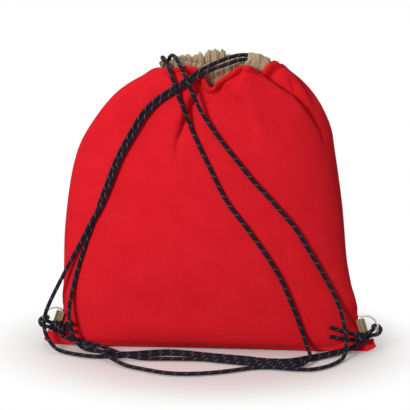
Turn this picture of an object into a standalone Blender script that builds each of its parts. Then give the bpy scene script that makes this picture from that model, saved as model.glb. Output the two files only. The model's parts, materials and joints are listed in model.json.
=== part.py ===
"""Drawstring knapsack: two fleece panels, a gathered cord casing, two cords, two ringed tabs.

Metres, +Z up. The strap side faces -Y. The origin is the middle of the flat base.
"""

import math

import bmesh
import bpy
import numpy as np
from mathutils import Vector
from mathutils.bvhtree import BVHTree

# Cloth
FLEECE = 0.002  # thickness of the panels
CASING_CLOTH = 0.0008  # thickness of the casing strip
RIBBON = 0.0012  # thickness of the tabs
CLEARANCE = 0.0003  # gap kept where two pieces touch

# Stuffed body, measured inside the fleece
BODY_HALF_WIDTH = 0.1573
FRONT_DEPTH = 0.0600  # from the upright mid plane to the strap side
BACK_DEPTH = 0.0800  # from the upright mid plane to the outer side
CREST_HEIGHT = 0.3025  # top of the gathered fleece
SEAM_FORWARD = 0.0450  # how far the bottom seam is pulled towards the strap side
CORNER_SHIFT = 0.0045  # the slumped body leans this far to +X at its foot
MOUTH_SHIFT = 0.0100  # the drawn mouth sits this far to +X

# Lower corners
EAR_OUT = 0.0215  # how far a corner tip stands past the widest part of the body
EAR_REACH = BODY_HALF_WIDTH + EAR_OUT  # corner tip from the middle of the foot

# Mouth
MOUTH_HALF_WIDTH = 0.0500
MOUTH_HALF_DEPTH = 0.0180
CASING_DROP = 0.0215  # from the crest of the fleece down to the foot of the casing
CASING_FOOT = CREST_HEIGHT - CASING_DROP
CASING_HEIGHT = 0.0300
CASING_RISE = 0.0060  # the outer half stands this much higher
CASING_HALF_GAP = 0.0038  # from the middle of the casing to the inside of its cloth
RUFFLE = 0.0035  # how far a gather stands out
RUFFLES = 9  # gathers in each half
CASING_END = math.radians(70)  # where each half stops beside the cord openings

# Cord and hardware
CORD = 0.0042
WIRE = 0.0023
RING_HALF_HEIGHT = 0.0125
RING_STRAIGHT = 0.005
TAB_WIDTH = 0.020
TAB_SLACK = 0.0053  # from the ring's bar to the inside of the fold
TAB_ROOT = 0.0030  # from the ring's bar to the edge of the corner
TAB_TILT = math.radians(18)
RING_INSET = 0.0158  # from the corner tip in to the ring's bar
RING_OUT = EAR_REACH - RING_INSET
RING_HEIGHT = {"left": 0.0268, "right": 0.0252}
KNOT_HEIGHT = {"left": 0.0235, "right": 0.0190}
KNOT_LENGTH = 0.020
KNOT_RADIUS = 0.0065
KNOT_SEAT = 0.0024  # between the knot and the corner that it lies on
BIGHT_HALF_DEPTH = 0.0100  # half the loop round the ring, front to back
BIGHT_ANGLE = math.radians(25)  # where the loop holds the ring, below the ring's middle
TAIL = 0.024
CORD_CLEARANCE = 0.0008  # kept between a laid cord and whatever it lies on
CHANNEL_STOP = math.radians(4.4)  # the stretch inside stops this far short of the end of the casing
START_FACING = {"right": {"1": -1, "2": 1}, "left": {"1": 1, "2": -1}}  # -1: out of the strap side casing
CORD_DROP = {"left": 0.0025, "right": 0.0095}  # from the crest down to each cord inside the casing

SIDES = {"left": -1, "right": 1}
COLUMNS = 30

# Outline of the stuffed body. Each pair is a share of the crest height and a share of the named size.
WIDTH = [(0.0, 0.74), (0.016, 0.83), (0.036, 0.905), (0.066, 0.940), (0.105, 0.976), (0.15, 1.0),
         (0.22, 0.977), (0.30, 0.960), (0.40, 0.948), (0.50, 0.930), (0.60, 0.902), (0.69, 0.866),
         (0.76, 0.822), (0.82, 0.766), (0.87, 0.710), (0.915, 0.644), (0.95, 0.572), (0.98, 0.490)]
FRONT = [(0.0, 0.74), (0.016, 0.762), (0.036, 0.80), (0.066, 0.85), (0.105, 0.895), (0.15, 0.935),
         (0.22, 0.978), (0.30, 1.0), (0.40, 0.99), (0.50, 0.94), (0.60, 0.875), (0.69, 0.81),
         (0.76, 0.745), (0.82, 0.685), (0.87, 0.635), (0.915, 0.59), (0.95, 0.54), (0.98, 0.475)]
BACK = [(0.0, 0.50), (0.03, 0.72), (0.066, 0.82), (0.11, 0.90), (0.17, 0.965), (0.25, 0.995),
        (0.33, 1.0), (0.43, 0.98), (0.53, 0.93), (0.63, 0.86), (0.71, 0.785), (0.78, 0.71),
        (0.83, 0.65), (0.87, 0.60), (0.915, 0.545), (0.95, 0.485), (0.98, 0.42)]
SEAM = [(0.0, 1.0), (0.13, 0.77), (0.22, 0.60), (0.30, 0.45), (0.40, 0.30), (0.50, 0.17),
        (0.60, 0.09), (0.69, 0.03), (0.76, 0.0), (1.0, 0.0)]
FOOT_LEAN = [(0.0, 1.0), (0.14, 0.95), (0.25, 0.25), (0.33, -0.15), (0.50, -0.3), (0.68, -0.4), (0.80, 0.0),
             (1.0, 0.0)]
MOUTH_LEAN = [(0.0, 0.0), (0.70, 0.0), (0.78, 0.3), (0.86, 0.5), (0.93, 0.65), (1.0, 1.0)]
EAR = [(0.0, 0.905), (0.0132, 0.970), (0.0231, 1.0), (0.029, 0.962), (0.035, 0.910), (0.0413, 0.901),
       (0.048, 0.907), (0.081, 0.882), (0.111, 0.860), (0.14, 0.840)]
FOOT_ROWS = {"front": [0.0067, 0.0132, 0.0231, 0.029, 0.0413, 0.066, 0.105],
             "back": [0.0345, 0.0413, 0.060, 0.080, 0.11]}
FLOOR_ROWS = [(0.0067, -1.0), (0.0132, -0.5), (0.0231, 0.1), (0.029, 0.62)]
BODY_ROWS = [0.15, 0.22, 0.30, 0.40, 0.50, 0.60, 0.69, 0.76, 0.82, 0.87, 0.915, 0.95, 0.98]
BASE_HALF_DEPTH = 0.045

# Folds that the drawn cord pulls into the fleece. Angles are degrees round the mouth from the middle of the
# panel. Each fold runs from its angle at the crest to its angle at its foot, where it fades out. Steep is
# its half width on the side of the panel's middle, and gentle on the other side.
FOLDS = {
    "front": [
        {"crest": -57, "foot": -84, "steep": 5, "gentle": 13, "depth": 0.015, "ends": 0.66},
        {"crest": -8, "foot": 3, "steep": 10, "gentle": 10, "depth": 0.018, "ends": 0.62},
        {"crest": 46, "foot": 84, "steep": 4, "gentle": 15, "depth": 0.017, "ends": 0.66},
    ],
    "back": [
        {"crest": -52, "foot": -70, "steep": 9, "gentle": 9, "depth": 0.016, "ends": 0.64},
        {"crest": -6, "foot": -2, "steep": 10, "gentle": 10, "depth": 0.016, "ends": 0.60},
        {"crest": 44, "foot": 62, "steep": 9, "gentle": 9, "depth": 0.017, "ends": 0.62},
    ],
}
LAP_DIP = 0.35  # share of a fold's depth that the sewn edge drops by
ROLL = [(0.0118, 1.0), (0.0050, 0.985), (0.0, 0.962)]
# How far the crest stands above its named height, by degrees round the mouth from the middle of the panel
RISE = {
    "front": [(-90, 0.0), (-62, 0.0), (-42, 0.0015), (-28, 0.007), (-18, 0.006), (-8, 0.0), (8, 0.004), (24, 0.009),
              (62, 0.008), (80, 0.001), (90, 0.0)],
    "back": [(-90, 0.0), (-40, 0.002), (0, 0.004), (50, 0.005), (80, 0.001), (90, 0.0)],
}
LAP_RISE = (1.0, 0.5, 0.0)  # share of that rise at each row of the roll


# Cord routes in millimetres, from the opening beside the casing to the knot. A settling step then lays each
# cord on the cloth, on the floor and on the cords below it.
ROUTES = {
    "right": {
        "2": [(62, 5, 294), (68, 1, 297.5), (69, -4, 303), (63, -11, 309.5), (51, -17, 315), (36, -20, 317),
              (19, -26, 313), (-3, -35, 304), (-14, -41, 297), (-25, -43, 290), (-47, -38, 275), (-64, -38, 260),
              (-78, -41, 238), (-92, -45, 212), (-102, -47, 187), (-110, -47, 166), (-118, -47, 141),
              (-127, -47, 116), (-136, -46, 89), (-142, -47, 65), (-145, -55, 46), (-144, -62, 31),
              (-139, -64, 15), (-130, -66, 5), (-118, -68, 3), (-106, -70, 3), (-90, -75, 3), (-76, -73, 3),
              (-60, -68, 3), (-38, -63, 3), (-22, -65, 3), (-4, -69, 3), (16, -74, 3), (44, -79, 3),
              (65, -85, 3), (85, -86, 3), (98, -82, 3), (112, -72, 3), (124, -65, 3), (143, -53, 4),
              (154, -50, 7), (161, -49, 9)],
        "1": [(62, -2.5, 295.5), (65, -6, 300.5), (60, -14, 306), (50, -21, 311), (36, -26, 313),
              (21, -37.5, 309), (8, -41, 305), (-3, -42, 300), (-14, -45, 293), (-25, -46, 286),
              (-45, -42, 272), (-61, -42, 257), (-75, -45, 235),
              (-89, -48, 210), (-99, -50, 185), (-107, -50, 164), (-122, -49, 137), (-138, -46, 107),
              (-153, -47, 78), (-165, -52, 54), (-171, -59, 38), (-171, -64, 24), (-165, -67, 12),
              (-156, -71, 4), (-145, -76, 3), (-130, -83, 3), (-113, -87, 3), (-89, -84, 3), (-59, -77, 3),
              (-37, -72, 3), (-21, -73, 3), (-4, -77, 3), (17, -83, 3), (45, -88, 3), (65, -94, 3),
              (85, -96, 3), (99, -92, 3), (112, -82, 3), (124, -73, 3), (143, -60, 4), (153, -56, 7),
              (161, -55, 9)],
    },
    "left": {
        "1": [(-41.5, 5, 301), (-46, 2.5, 304), (-48.5, -3, 309), (-48, -10, 312),
              (-44, -20, 311), (-37, -34, 300), (-31, -44, 284), (-24, -47, 268), (-13, -46, 240), (5, -54, 204),
              (24, -60, 168), (47, -63, 138), (66, -63, 111), (82, -62, 84), (94, -60, 55), (104, -57, 28),
              (109, -60, 14), (112, -68, 9), (114, -80, 9), (113, -91, 7), (109, -99, 4), (98, -103, 3),
              (78, -104, 3), (58, -102, 3), (38, -97, 3), (17, -92, 3), (-2, -88, 3), (-42, -89, 3),
              (-63, -90, 3), (-84, -88, 6), (-100, -78, 9), (-113, -67, 9), (-126, -58, 9), (-140, -52, 11),
              (-152, -48.5, 13.2)],
        "2": [(-40.5, -3.5, 301), (-42, -1.5, 305), (-41.5, -3.5, 310), (-38.5, -9, 313.5),
              (-34.5, -19, 315), (-30, -31, 312), (-24, -40, 304), (-16, -47, 288), (-8, -47, 270),
              (-1, -47, 256), (18, -50, 230),
              (37, -54, 207), (51, -56, 190), (66, -56, 174), (82, -56, 156), (96, -55, 139), (107, -54, 121),
              (117, -52, 104), (127, -50, 86), (137, -49, 68), (144, -52, 52), (148, -58, 40), (151, -63, 29),
              (152, -66, 16), (151, -70, 6), (147, -79, 3), (135, -99, 3), (119, -112, 3), (104, -114, 3),
              (86, -111, 3), (70, -109, 3), (58, -111, 3), (46, -116, 3), (27, -126, 3), (7, -133, 3),
              (-16, -137, 3), (-38, -134, 3), (-60, -124, 3), (-75, -116, 3), (-88, -105, 4), (-101, -93, 7),
              (-112, -82, 9), (-120, -72, 9), (-129, -63, 9), (-140, -58, 11), (-152, -54.5, 13.8)],
    },
}


def along(table, t):
    """The smooth curve through a table's points, read at t."""
    xs = [x for x, _ in table]
    ys = [y for _, y in table]
    if t <= xs[0]:
        return ys[0]
    if t >= xs[-1]:
        return ys[-1]
    k = max(i for i, x in enumerate(xs) if x <= t)
    slope = [(b - a) / (q - p) for a, b, p, q in zip(ys, ys[1:], xs, xs[1:])]
    before = slope[max(k - 1, 0)]
    after = slope[min(k + 1, len(slope) - 1)]
    start, end = (before + slope[k]) / 2, (slope[k] + after) / 2
    span = xs[k + 1] - xs[k]
    s = (t - xs[k]) / span
    return (ys[k] * (2 * s**3 - 3 * s**2 + 1) + start * span * (s**3 - 2 * s**2 + s)
            + ys[k + 1] * (3 * s**2 - 2 * s**3) + end * span * (s**3 - s**2))


def ease(low, high, value):
    s = min(1.0, max(0.0, (value - low) / (high - low)))
    return s * s * (3 - 2 * s)


def centre_x(t):
    return CORNER_SHIFT * along(FOOT_LEAN, t) + MOUTH_SHIFT * along(MOUTH_LEAN, t)


def body_section(t, side, angle):
    """A point of the panel at height share t and angle from its middle, before the folds."""
    body = BODY_HALF_WIDTH * along(WIDTH, t)
    edge = max(body, EAR_REACH * along(EAR, t)) if t < EAR[-1][0] else body
    seam = -SEAM_FORWARD * along(SEAM, t)
    wall = -FRONT_DEPTH * along(FRONT, t) if side == "front" else BACK_DEPTH * along(BACK, t)
    reach = edge * math.sin(angle)
    fill = min(1.0, abs(reach) / body)
    square = 2.4 - 0.4 * ease(0.6, 0.9, t)
    lens = 1.45 + 0.55 * ease(0.05, 0.3, t)
    bulge = (1 - fill**square) ** (1 / lens)
    return Vector((centre_x(t) + reach, seam + (wall - seam) * bulge, CREST_HEIGHT * t))


def floor_section(t, depth, angle):
    """A point of the outer panel where it lies flat under the bag."""
    point = body_section(t, "back", angle)
    body = BODY_HALF_WIDTH * along(WIDTH, t)
    fill = min(1.0, abs(point.x - centre_x(t)) / body)
    flat = 1 - ease(0.72, 1.0, fill)
    seam = -SEAM_FORWARD * along(SEAM, t)
    point.y = seam + max(0.0, depth * BASE_HALF_DEPTH - seam) * (1 - fill**2.4) ** 0.69
    point.z = point.z + (FLEECE - point.z) * flat
    return point


def mouth_radii(out):
    """Half width and half depth of the mouth ring, a distance out from the casing's middle line."""
    return MOUTH_HALF_WIDTH + out, MOUTH_HALF_DEPTH + out


def roll_section(out, height, side, angle):
    """A point where the fleece rolls over its crest and down to the casing."""
    seat = CASING_HALF_GAP + CASING_CLOTH + CLEARANCE + FLEECE
    width, depth = mouth_radii(seat + out)
    facing = -1 if side == "front" else 1
    return Vector((MOUTH_SHIFT + width * math.sin(angle), facing * depth * math.cos(angle), CREST_HEIGHT * height))


def fold_depth(side, t, angle):
    """How deep the folds are at a point: 0 on the humps."""
    deepest = 0.0
    for fold in FOLDS[side]:
        run = min(1.0, max(0.0, (1 - t) / (1 - fold["ends"])))
        line = math.radians(fold["crest"] + (fold["foot"] - fold["crest"]) * run**1.6)
        away = (angle - line) * (1 if line >= 0 else -1)
        width = math.radians(fold["gentle"] if away > 0 else fold["steep"]) * (1 + 0.5 * run)
        fade = (1 - ease(0.0, 1.0, run)) * ease(0.0, math.radians(9), math.pi / 2 - abs(angle))
        deepest = max(deepest, fold["depth"] * fade * math.exp(-((away / width) ** 2)))
    return deepest


def panel_grid(side):
    """Rows of points up the inside of a panel, from the bottom seam to the edge sewn to the casing."""
    angles = [math.radians(-90 + 180 * k / COLUMNS) for k in range(COLUMNS + 1)]
    rows, heights = [], []
    if side == "back":
        for t, depth in FLOOR_ROWS:
            rows.append([floor_section(t, depth, a) for a in angles])
            heights.append(t)
    for t in FOOT_ROWS[side] + BODY_ROWS:
        rows.append([body_section(t, side, a) for a in angles])
        heights.append(t)
    for out, height in ROLL:
        rows.append([roll_section(out, height, side, a) for a in angles])
        heights.append(1.0)
    outward = -1 if side == "front" else 1
    normals = grid_normals(rows, outward)
    last = len(rows) - 1
    for r, row in enumerate(rows):
        for c, angle in enumerate(angles):
            deep = fold_depth(side, heights[r], angle)
            lifted = LAP_RISE[r - last - 1] if r > last - len(ROLL) else ease(0.85, 1.0, heights[r])
            row[c].z += along(RISE[side], math.degrees(angle)) * lifted
            if r == last:
                row[c].z -= LAP_DIP * deep
            elif r > last - len(ROLL):
                row[c].z -= deep
            elif deep > 0:
                sink = ease(0.84, 0.97, heights[r])
                row[c] -= normals[r][c].lerp(Vector((0, 0, 1)), sink) * deep
            row[c].y += outward * CLEARANCE * (0.5 + ease(0.84, 1.0, heights[r]))
    return rows


def grid_normals(rows, outward):
    normals = []
    for r in range(len(rows)):
        line = []
        for c in range(len(rows[0])):
            up = rows[min(r + 1, len(rows) - 1)][c] - rows[max(r - 1, 0)][c]
            across = rows[r][min(c + 1, len(rows[0]) - 1)] - rows[r][max(c - 1, 0)]
            line.append((across.cross(up) * -outward).normalized())
        normals.append(line)
    return normals


def material(name, colour, roughness, metallic=0.0):
    made = bpy.data.materials.new(name)
    made.use_nodes = True
    shader = made.node_tree.nodes["Principled BSDF"]
    shader.inputs["Base Color"].default_value = (*colour, 1.0)
    shader.inputs["Roughness"].default_value = roughness
    shader.inputs["Metallic"].default_value = metallic
    return made


def new_object(name, mesh, finish, smooth=True):
    obj = bpy.data.objects.new(name, mesh)
    bpy.context.scene.collection.objects.link(obj)
    if mesh.materials:
        mesh.materials[0] = finish
    else:
        mesh.materials.append(finish)
    if smooth:
        mesh.shade_smooth()
    return obj


def mesh_from_rows(name, rows, flip):
    bm = bmesh.new()
    grid = [[bm.verts.new(p) for p in row] for row in rows]
    for low, high in zip(grid, grid[1:]):
        for a, b, c, d in zip(low, low[1:], high[1:], high):
            bm.faces.new((d, c, b, a) if flip else (a, b, c, d))
    mesh = bpy.data.meshes.new(name)
    bm.to_mesh(mesh)
    bm.free()
    return mesh


def make_panel(name, side, finish):
    """A panel lofted up its inside face and given the fleece's thickness outwards."""
    obj = new_object(name, mesh_from_rows(name, panel_grid(side), side == "back"), finish)
    wall = obj.modifiers.new("fleece", "SOLIDIFY")
    wall.thickness = FLEECE
    wall.offset = 1.0
    return obj


def ring_point(out, angle, facing, height):
    """A point beside the mouth's middle line: angle from the middle of one half, facing -1 for the strap side."""
    x = MOUTH_HALF_WIDTH * math.sin(angle)
    y = facing * MOUTH_HALF_DEPTH * math.cos(angle)
    normal = Vector((x / MOUTH_HALF_WIDTH**2, y / MOUTH_HALF_DEPTH**2, 0)).normalized()
    return Vector((MOUTH_SHIFT + x, y, CASING_FOOT + height)) + normal * out


def casing_section(angle, facing, inset):
    """One closed section of the casing. An inset takes it from the cloth's outer face to its inner face."""
    wave = 0.5 + 0.5 * math.cos(RUFFLES * math.pi * angle / CASING_END + 0.6)
    wall = CASING_HALF_GAP + CASING_CLOTH - inset
    full = CASING_HEIGHT + (CASING_RISE if facing > 0 else 0)
    crown = wall + RUFFLE * wave
    top = full - inset + RUFFLE * (wave - 0.5)
    half = [(wall * 0.9, 0.10), (wall, 0.42), (crown, 0.74)]
    outline = [(0.0, inset)]
    outline += [(out, full * share) for out, share in half]
    outline += [(0.0, top)]
    outline += [(-out, full * share) for out, share in reversed(half)]
    return [ring_point(out, angle, facing, height) for out, height in outline]


def make_casing(name, facing, finish):
    """Half of the gathered sleeve: an outer skin and an inner skin, joined at the two open ends."""
    steps = 4 * RUFFLES
    bm = bmesh.new()
    skins = []
    for inset in (0.0, CASING_CLOTH):
        loops = []
        for k in range(steps + 1):
            angle = CASING_END * (2 * k / steps - 1)
            loops.append([bm.verts.new(p) for p in casing_section(angle, facing, inset)])
        skins.append(loops)
    for skin, loops in enumerate(skins):
        for first, second in zip(loops, loops[1:]):
            for k in range(len(first)):
                n = (k + 1) % len(first)
                quad = (first[k], first[n], second[n], second[k])
                bm.faces.new(quad if skin == 0 else quad[::-1])
    for end, turn in ((0, 1), (-1, -1)):
        outer, inner = skins[0][end], skins[1][end]
        for k in range(len(outer)):
            n = (k + 1) % len(outer)
            quad = (outer[k], inner[k], inner[n], outer[n])
            bm.faces.new(quad[::turn])
    bmesh.ops.recalc_face_normals(bm, faces=bm.faces)
    mesh = bpy.data.meshes.new(name)
    bm.to_mesh(mesh)
    bm.free()
    return new_object(name, mesh, finish)


def tube(name, points, radius, finish, closed=False, resolution=2):
    """A round bar along a line of points."""
    curve = bpy.data.curves.new(name, "CURVE")
    curve.dimensions = "3D"
    spline = curve.splines.new("POLY")
    spline.points.add(len(points) - 1)
    for point, place in zip(spline.points, points):
        point.co = (*place, 1.0)
    spline.use_cyclic_u = closed
    curve.bevel_depth = radius
    curve.bevel_resolution = resolution
    curve.use_fill_caps = not closed
    obj = bpy.data.objects.new(name, curve)
    bpy.context.scene.collection.objects.link(obj)
    curve.materials.append(finish)
    return obj


def ring_frame(side):
    """Middle of the ring's bar, and the ring's two directions: out from the bag and along the bar."""
    sign = SIDES[side]
    seam = -SEAM_FORWARD * along(SEAM, RING_HEIGHT[side] / CREST_HEIGHT)
    middle = Vector((CORNER_SHIFT + sign * RING_OUT, seam, RING_HEIGHT[side]))
    out = Vector((sign * math.cos(TAB_TILT), 0, math.sin(TAB_TILT)))
    lean = SEAM_FORWARD * (SEAM[0][1] - SEAM[1][1]) / (CREST_HEIGHT * SEAM[1][0])
    bar = Vector((-sign * math.sin(TAB_TILT), lean * math.cos(TAB_TILT), math.cos(TAB_TILT))).normalized()
    return middle, out, bar


def make_ring(side, finish):
    """A D-ring of bent wire: a straight bar, two short sides and a half circle."""
    middle, out, bar = ring_frame(side)
    points = []
    corner = 0.0018
    for end in (-1, 1):
        corners = [math.radians(a) for a in (0, 45, 90)]
        for a in corners if end < 0 else reversed(corners):
            along_bar = RING_HALF_HEIGHT - corner * (1 - math.sin(a))
            points.append(middle + bar * end * along_bar + out * corner * (1 - math.cos(a)))
    arc = []
    for k in range(15):
        a = math.radians(-90 + 180 * k / 14)
        reach = RING_STRAIGHT + RING_HALF_HEIGHT * math.cos(a)
        arc.append(middle + out * reach + bar * RING_HALF_HEIGHT * math.sin(a))
    line = points[:3] + arc + points[3:]
    return tube(f"ring_{side}", line, WIRE / 2, finish, closed=True)


def make_tab(side, finish):
    """A ribbon folded round the ring's bar: its two legs end against the edge of the corner."""
    middle, out, bar = ring_frame(side)
    forward = out.cross(bar) * SIDES[side]
    inner = WIRE / 2 + CLEARANCE
    steps = 8
    profile = []
    for radius in (inner + RIBBON, inner):
        line = [(-TAB_ROOT, radius)]
        for k in range(steps + 1):
            a = math.radians(90 - 180 * k / steps)
            line.append((TAB_SLACK - inner + radius * math.cos(a), radius * math.sin(a)))
        line.append((-TAB_ROOT, -radius))
        profile.append(line)
    outline = profile[0] + profile[1][::-1]
    bm = bmesh.new()
    faces = []
    for end in (-0.5, 0.5):
        loop = [bm.verts.new(middle + out * x + forward * y + bar * end * TAB_WIDTH) for x, y in outline]
        faces.append(loop)
    low, high = faces
    count = len(outline)
    for k in range(count):
        n = (k + 1) % count
        bm.faces.new((low[k], low[n], high[n], high[k]))
    half = count // 2
    for loop in faces:
        for k in range(half - 1):
            bm.faces.new((loop[k], loop[k + 1], loop[count - 2 - k], loop[count - 1 - k]))
    bmesh.ops.recalc_face_normals(bm, faces=bm.faces)
    mesh = bpy.data.meshes.new(f"tab_{side}")
    bm.to_mesh(mesh)
    bm.free()
    return new_object(f"tab_{side}", mesh, finish, smooth=False)


def sweep(name, points, radius, sides=8):
    """A closed round bar as a mesh, for joining to another solid."""
    bm = bmesh.new()
    loops = []
    turned = Vector((0, 0, 1))
    for k, point in enumerate(points):
        ahead = (points[min(k + 1, len(points) - 1)] - points[max(k - 1, 0)]).normalized()
        turned = (turned - ahead * turned.dot(ahead)).normalized()
        across = ahead.cross(turned)
        ring = []
        for n in range(sides):
            a = 2 * math.pi * n / sides
            ring.append(bm.verts.new(point + (turned * math.cos(a) + across * math.sin(a)) * radius))
        loops.append(ring)
    for first, second in zip(loops, loops[1:]):
        for n in range(sides):
            m = (n + 1) % sides
            bm.faces.new((first[n], first[m], second[m], second[n]))
    bm.faces.new(loops[0])
    bm.faces.new(loops[-1])
    bmesh.ops.recalc_face_normals(bm, faces=bm.faces)
    mesh = bpy.data.meshes.new(name)
    bm.to_mesh(mesh)
    bm.free()
    return mesh


def smooth_line(points, step):
    """Points a step apart along a smooth curve through the given ones."""
    padded = [points[0] * 2 - points[1], *points, points[-1] * 2 - points[-2]]
    dense = []
    for a, b, c, d in zip(padded, padded[1:], padded[2:], padded[3:]):
        parts = max(2, int((c - b).length / 0.001))
        for k in range(parts):
            s = k / parts
            dense.append(0.5 * (b * 2 + (c - a) * s + (a * 2 - b * 5 + c * 4 - d) * s**2
                                + (b * 3 - a - c * 3 + d) * s**3))
    dense.append(points[-1].copy())
    lengths = [0.0]
    for a, b in zip(dense, dense[1:]):
        lengths.append(lengths[-1] + (b - a).length)
    count = max(2, round(lengths[-1] / step))
    line, k = [], 0
    for n in range(count + 1):
        want = lengths[-1] * n / count
        while k < len(dense) - 2 and lengths[k + 1] < want:
            k += 1
        share = (want - lengths[k]) / max(1e-9, lengths[k + 1] - lengths[k])
        line.append(dense[k].lerp(dense[k + 1], min(1.0, share)))
    return line


def knot_middle(side):
    """The knot lies on the strap side of the corner, in front of the seam."""
    height = KNOT_HEIGHT[side]
    seam = -SEAM_FORWARD * along(SEAM, height / CREST_HEIGHT)
    front = seam - CLEARANCE / 2 - FLEECE
    return Vector((CORNER_SHIFT + SIDES[side] * RING_OUT, front - KNOT_SEAT - KNOT_RADIUS, height))


def knot_barrel(name, middle, sign):
    """The body of the knot: three turns of cord seen as three round ribs."""
    rings, sides = 13, 12
    bm = bmesh.new()
    loops = []
    for k in range(rings):
        s = k / (rings - 1)
        rib = abs(math.sin(3 * math.pi * s)) ** 0.6
        radius = KNOT_RADIUS * (0.62 + 0.38 * rib) if 0 < k < rings - 1 else KNOT_RADIUS * 0.72
        x = middle.x + sign * KNOT_LENGTH * (s - 0.5)
        loop = []
        for n in range(sides):
            a = 2 * math.pi * n / sides
            loop.append(bm.verts.new((x, middle.y + radius * math.cos(a), middle.z + radius * math.sin(a))))
        loops.append(loop)
    for first, second in zip(loops, loops[1:]):
        for n in range(sides):
            m = (n + 1) % sides
            bm.faces.new((first[n], first[m], second[m], second[n]))
    bm.faces.new(loops[0])
    bm.faces.new(loops[-1])
    bmesh.ops.recalc_face_normals(bm, faces=bm.faces)
    mesh = bpy.data.meshes.new(name)
    bm.to_mesh(mesh)
    bm.free()
    return mesh


def knot_lines(side):
    """The loop round the ring and the cut ends, as lines of points."""
    sign = SIDES[side]
    middle = knot_middle(side)
    ring, out, bar = ring_frame(side)
    wire = ring + out * (RING_STRAIGHT + RING_HALF_HEIGHT * math.cos(BIGHT_ANGLE)) - bar * (
        RING_HALF_HEIGHT * math.sin(BIGHT_ANGLE))
    outside = CORD / 2 + WIRE / 2 + CLEARANCE

    def place(x, y, z):
        return Vector((wire.x + sign * x, wire.y + y, wire.z + z))

    half = BIGHT_HALF_DEPTH
    loop = [middle + Vector((sign * KNOT_LENGTH * 0.2, 0, -0.0034)), place(-0.0075, -half - 0.0005, -0.0040),
            place(-0.001, -half, -0.003), place(outside - 0.0012, -half * 0.62, -0.0015), place(outside, 0, 0),
            place(outside - 0.0012, half * 0.62, 0.0005), place(-0.0005, half, 0.0012),
            place(-outside - 0.0004, half * 0.6, 0.002), place(-outside - 0.0012, -0.001, 0.0028),
            place(-outside - 0.0008, -half * 0.95, 0.0028), middle + Vector((sign * KNOT_LENGTH * 0.2, 0, 0.0034))]
    ends = []
    for level, drop in ((0.0032, 0.0015), (-0.0028, 0.0)):
        start = middle + Vector((-sign * KNOT_LENGTH * 0.3, 0.0005, level))
        ends.append([start, start + Vector((-sign * TAIL * 0.5, -0.0035, drop)),
                     start + Vector((-sign * TAIL * 1.08, -0.0050, drop * 2.2))])
    return loop, ends


def make_knot(side, finish):
    name = f"knot_{side}"
    knot = new_object(name, knot_barrel(name, knot_middle(side), SIDES[side]), finish)
    loop, ends = knot_lines(side)
    for n, line in enumerate([loop, *ends]):
        bar = new_object(f"{name}_bar_{n}", sweep(f"{name}_bar_{n}", smooth_line(line, CORD * 0.7), CORD / 2), finish)
        bar.hide_render = True
        bar.display_type = "WIRE"
        joined = knot.modifiers.new(f"join_{n}", "BOOLEAN")
        joined.operation = "UNION"
        joined.solver = "EXACT"
        joined.use_self = True
        joined.object = bar
    return knot


def skins():
    """The outer faces that the cords lie on, for finding the nearest point."""
    points, faces = [], []
    for name in ("strap_side_panel", "outer_side_panel"):
        mesh = bpy.data.objects[name].data
        start = len(points)
        points.extend(v.co + v.normal * FLEECE for v in mesh.vertices)
        faces.extend([start + k for k in polygon.vertices] for polygon in mesh.polygons)
    for facing in (-1, 1):
        rows = [casing_section(CASING_END * (k / 30 - 1), facing, 0.0) for k in range(61)]
        start, around = len(points), len(rows[0])
        points.extend(p for row in rows for p in row)
        for r in range(len(rows) - 1):
            for c in range(around):
                n = (c + 1) % around
                quad = [r * around + c, r * around + n, (r + 1) * around + n, (r + 1) * around + c]
                faces.append([start + k for k in (quad if facing > 0 else quad[::-1])])
    return BVHTree.FromPolygons(points, faces)


def settle(route, skin, others):
    """Lay a cord: it is pulled straight between its ends and pushed off everything it may not enter."""
    line = np.array(smooth_line(route, 0.003))
    home = line.copy()
    radius = CORD / 2

    def push():
        lifts = np.tile((0.0, 0.0, 1.0), (len(line), 1))
        for k, place in enumerate(line[4:], 4):
            near, normal, _, gap = skin.find_nearest(Vector(place))
            if place[2] > 0.014:
                lifts[k] = (0.0, -0.9, 0.436)
            away = Vector(place) - near
            inside = gap < 0.007 and away.dot(normal) < -0.6 * gap
            if inside or gap < radius + CORD_CLEARANCE:
                way = normal if inside else away / gap
                line[k] = near + way * (radius + CORD_CLEARANCE)
        for start, step, size in others:
            to = line[:, None, :] - start[None, :, :]
            share = np.clip((to * step).sum(2) / (step * step).sum(1), 0, 1)
            off = to - share[:, :, None] * step
            far = np.linalg.norm(off, axis=2)
            first = far.argmin(1)
            off = off[np.arange(len(line)), first]
            gap = np.maximum(far.min(1), 1e-6)
            need = radius + size + CORD_CLEARANCE
            rise = (off * lifts).sum(1)
            over = (gap < need) & (rise > 0.3 * gap)
            beside = (gap < need) & ~over
            higher = np.sqrt(np.maximum(need**2 - gap**2, 0) + rise**2) - rise
            line[over] += lifts[over] * higher[over, None]
            line[beside] += off[beside] * (need / gap - 1)[beside, None]
        line[:, 2] = np.maximum(line[:, 2], radius + CLEARANCE)

    for _ in range(160):
        line[3:-1] += 0.4 * ((line[2:-2] + line[4:]) / 2 - line[3:-1])
        line[3:-1] += 0.15 * (home[3:-1] - line[3:-1])
        push()
    for _ in range(30):
        push()
    return line


def as_bars(line, size):
    return line[:-1], line[1:] - line[:-1], size


def thin_line(line, sag=0.0003, longest=0.015):
    """Drop the points that a straight step passes within a hair of."""
    kept, k = [0], 0
    while k < len(line) - 1:
        n = k + 1
        while n + 1 < len(line):
            step = line[n + 1] - line[k]
            size = np.linalg.norm(step)
            if size > longest:
                break
            between = line[k + 1:n + 1] - line[k]
            off = between - np.outer(between @ step / size**2, step)
            if np.linalg.norm(off, axis=1).max() > sag:
                break
            n += 1
        kept.append(n)
        k = n
    return [Vector(line[k]) for k in kept]


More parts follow.
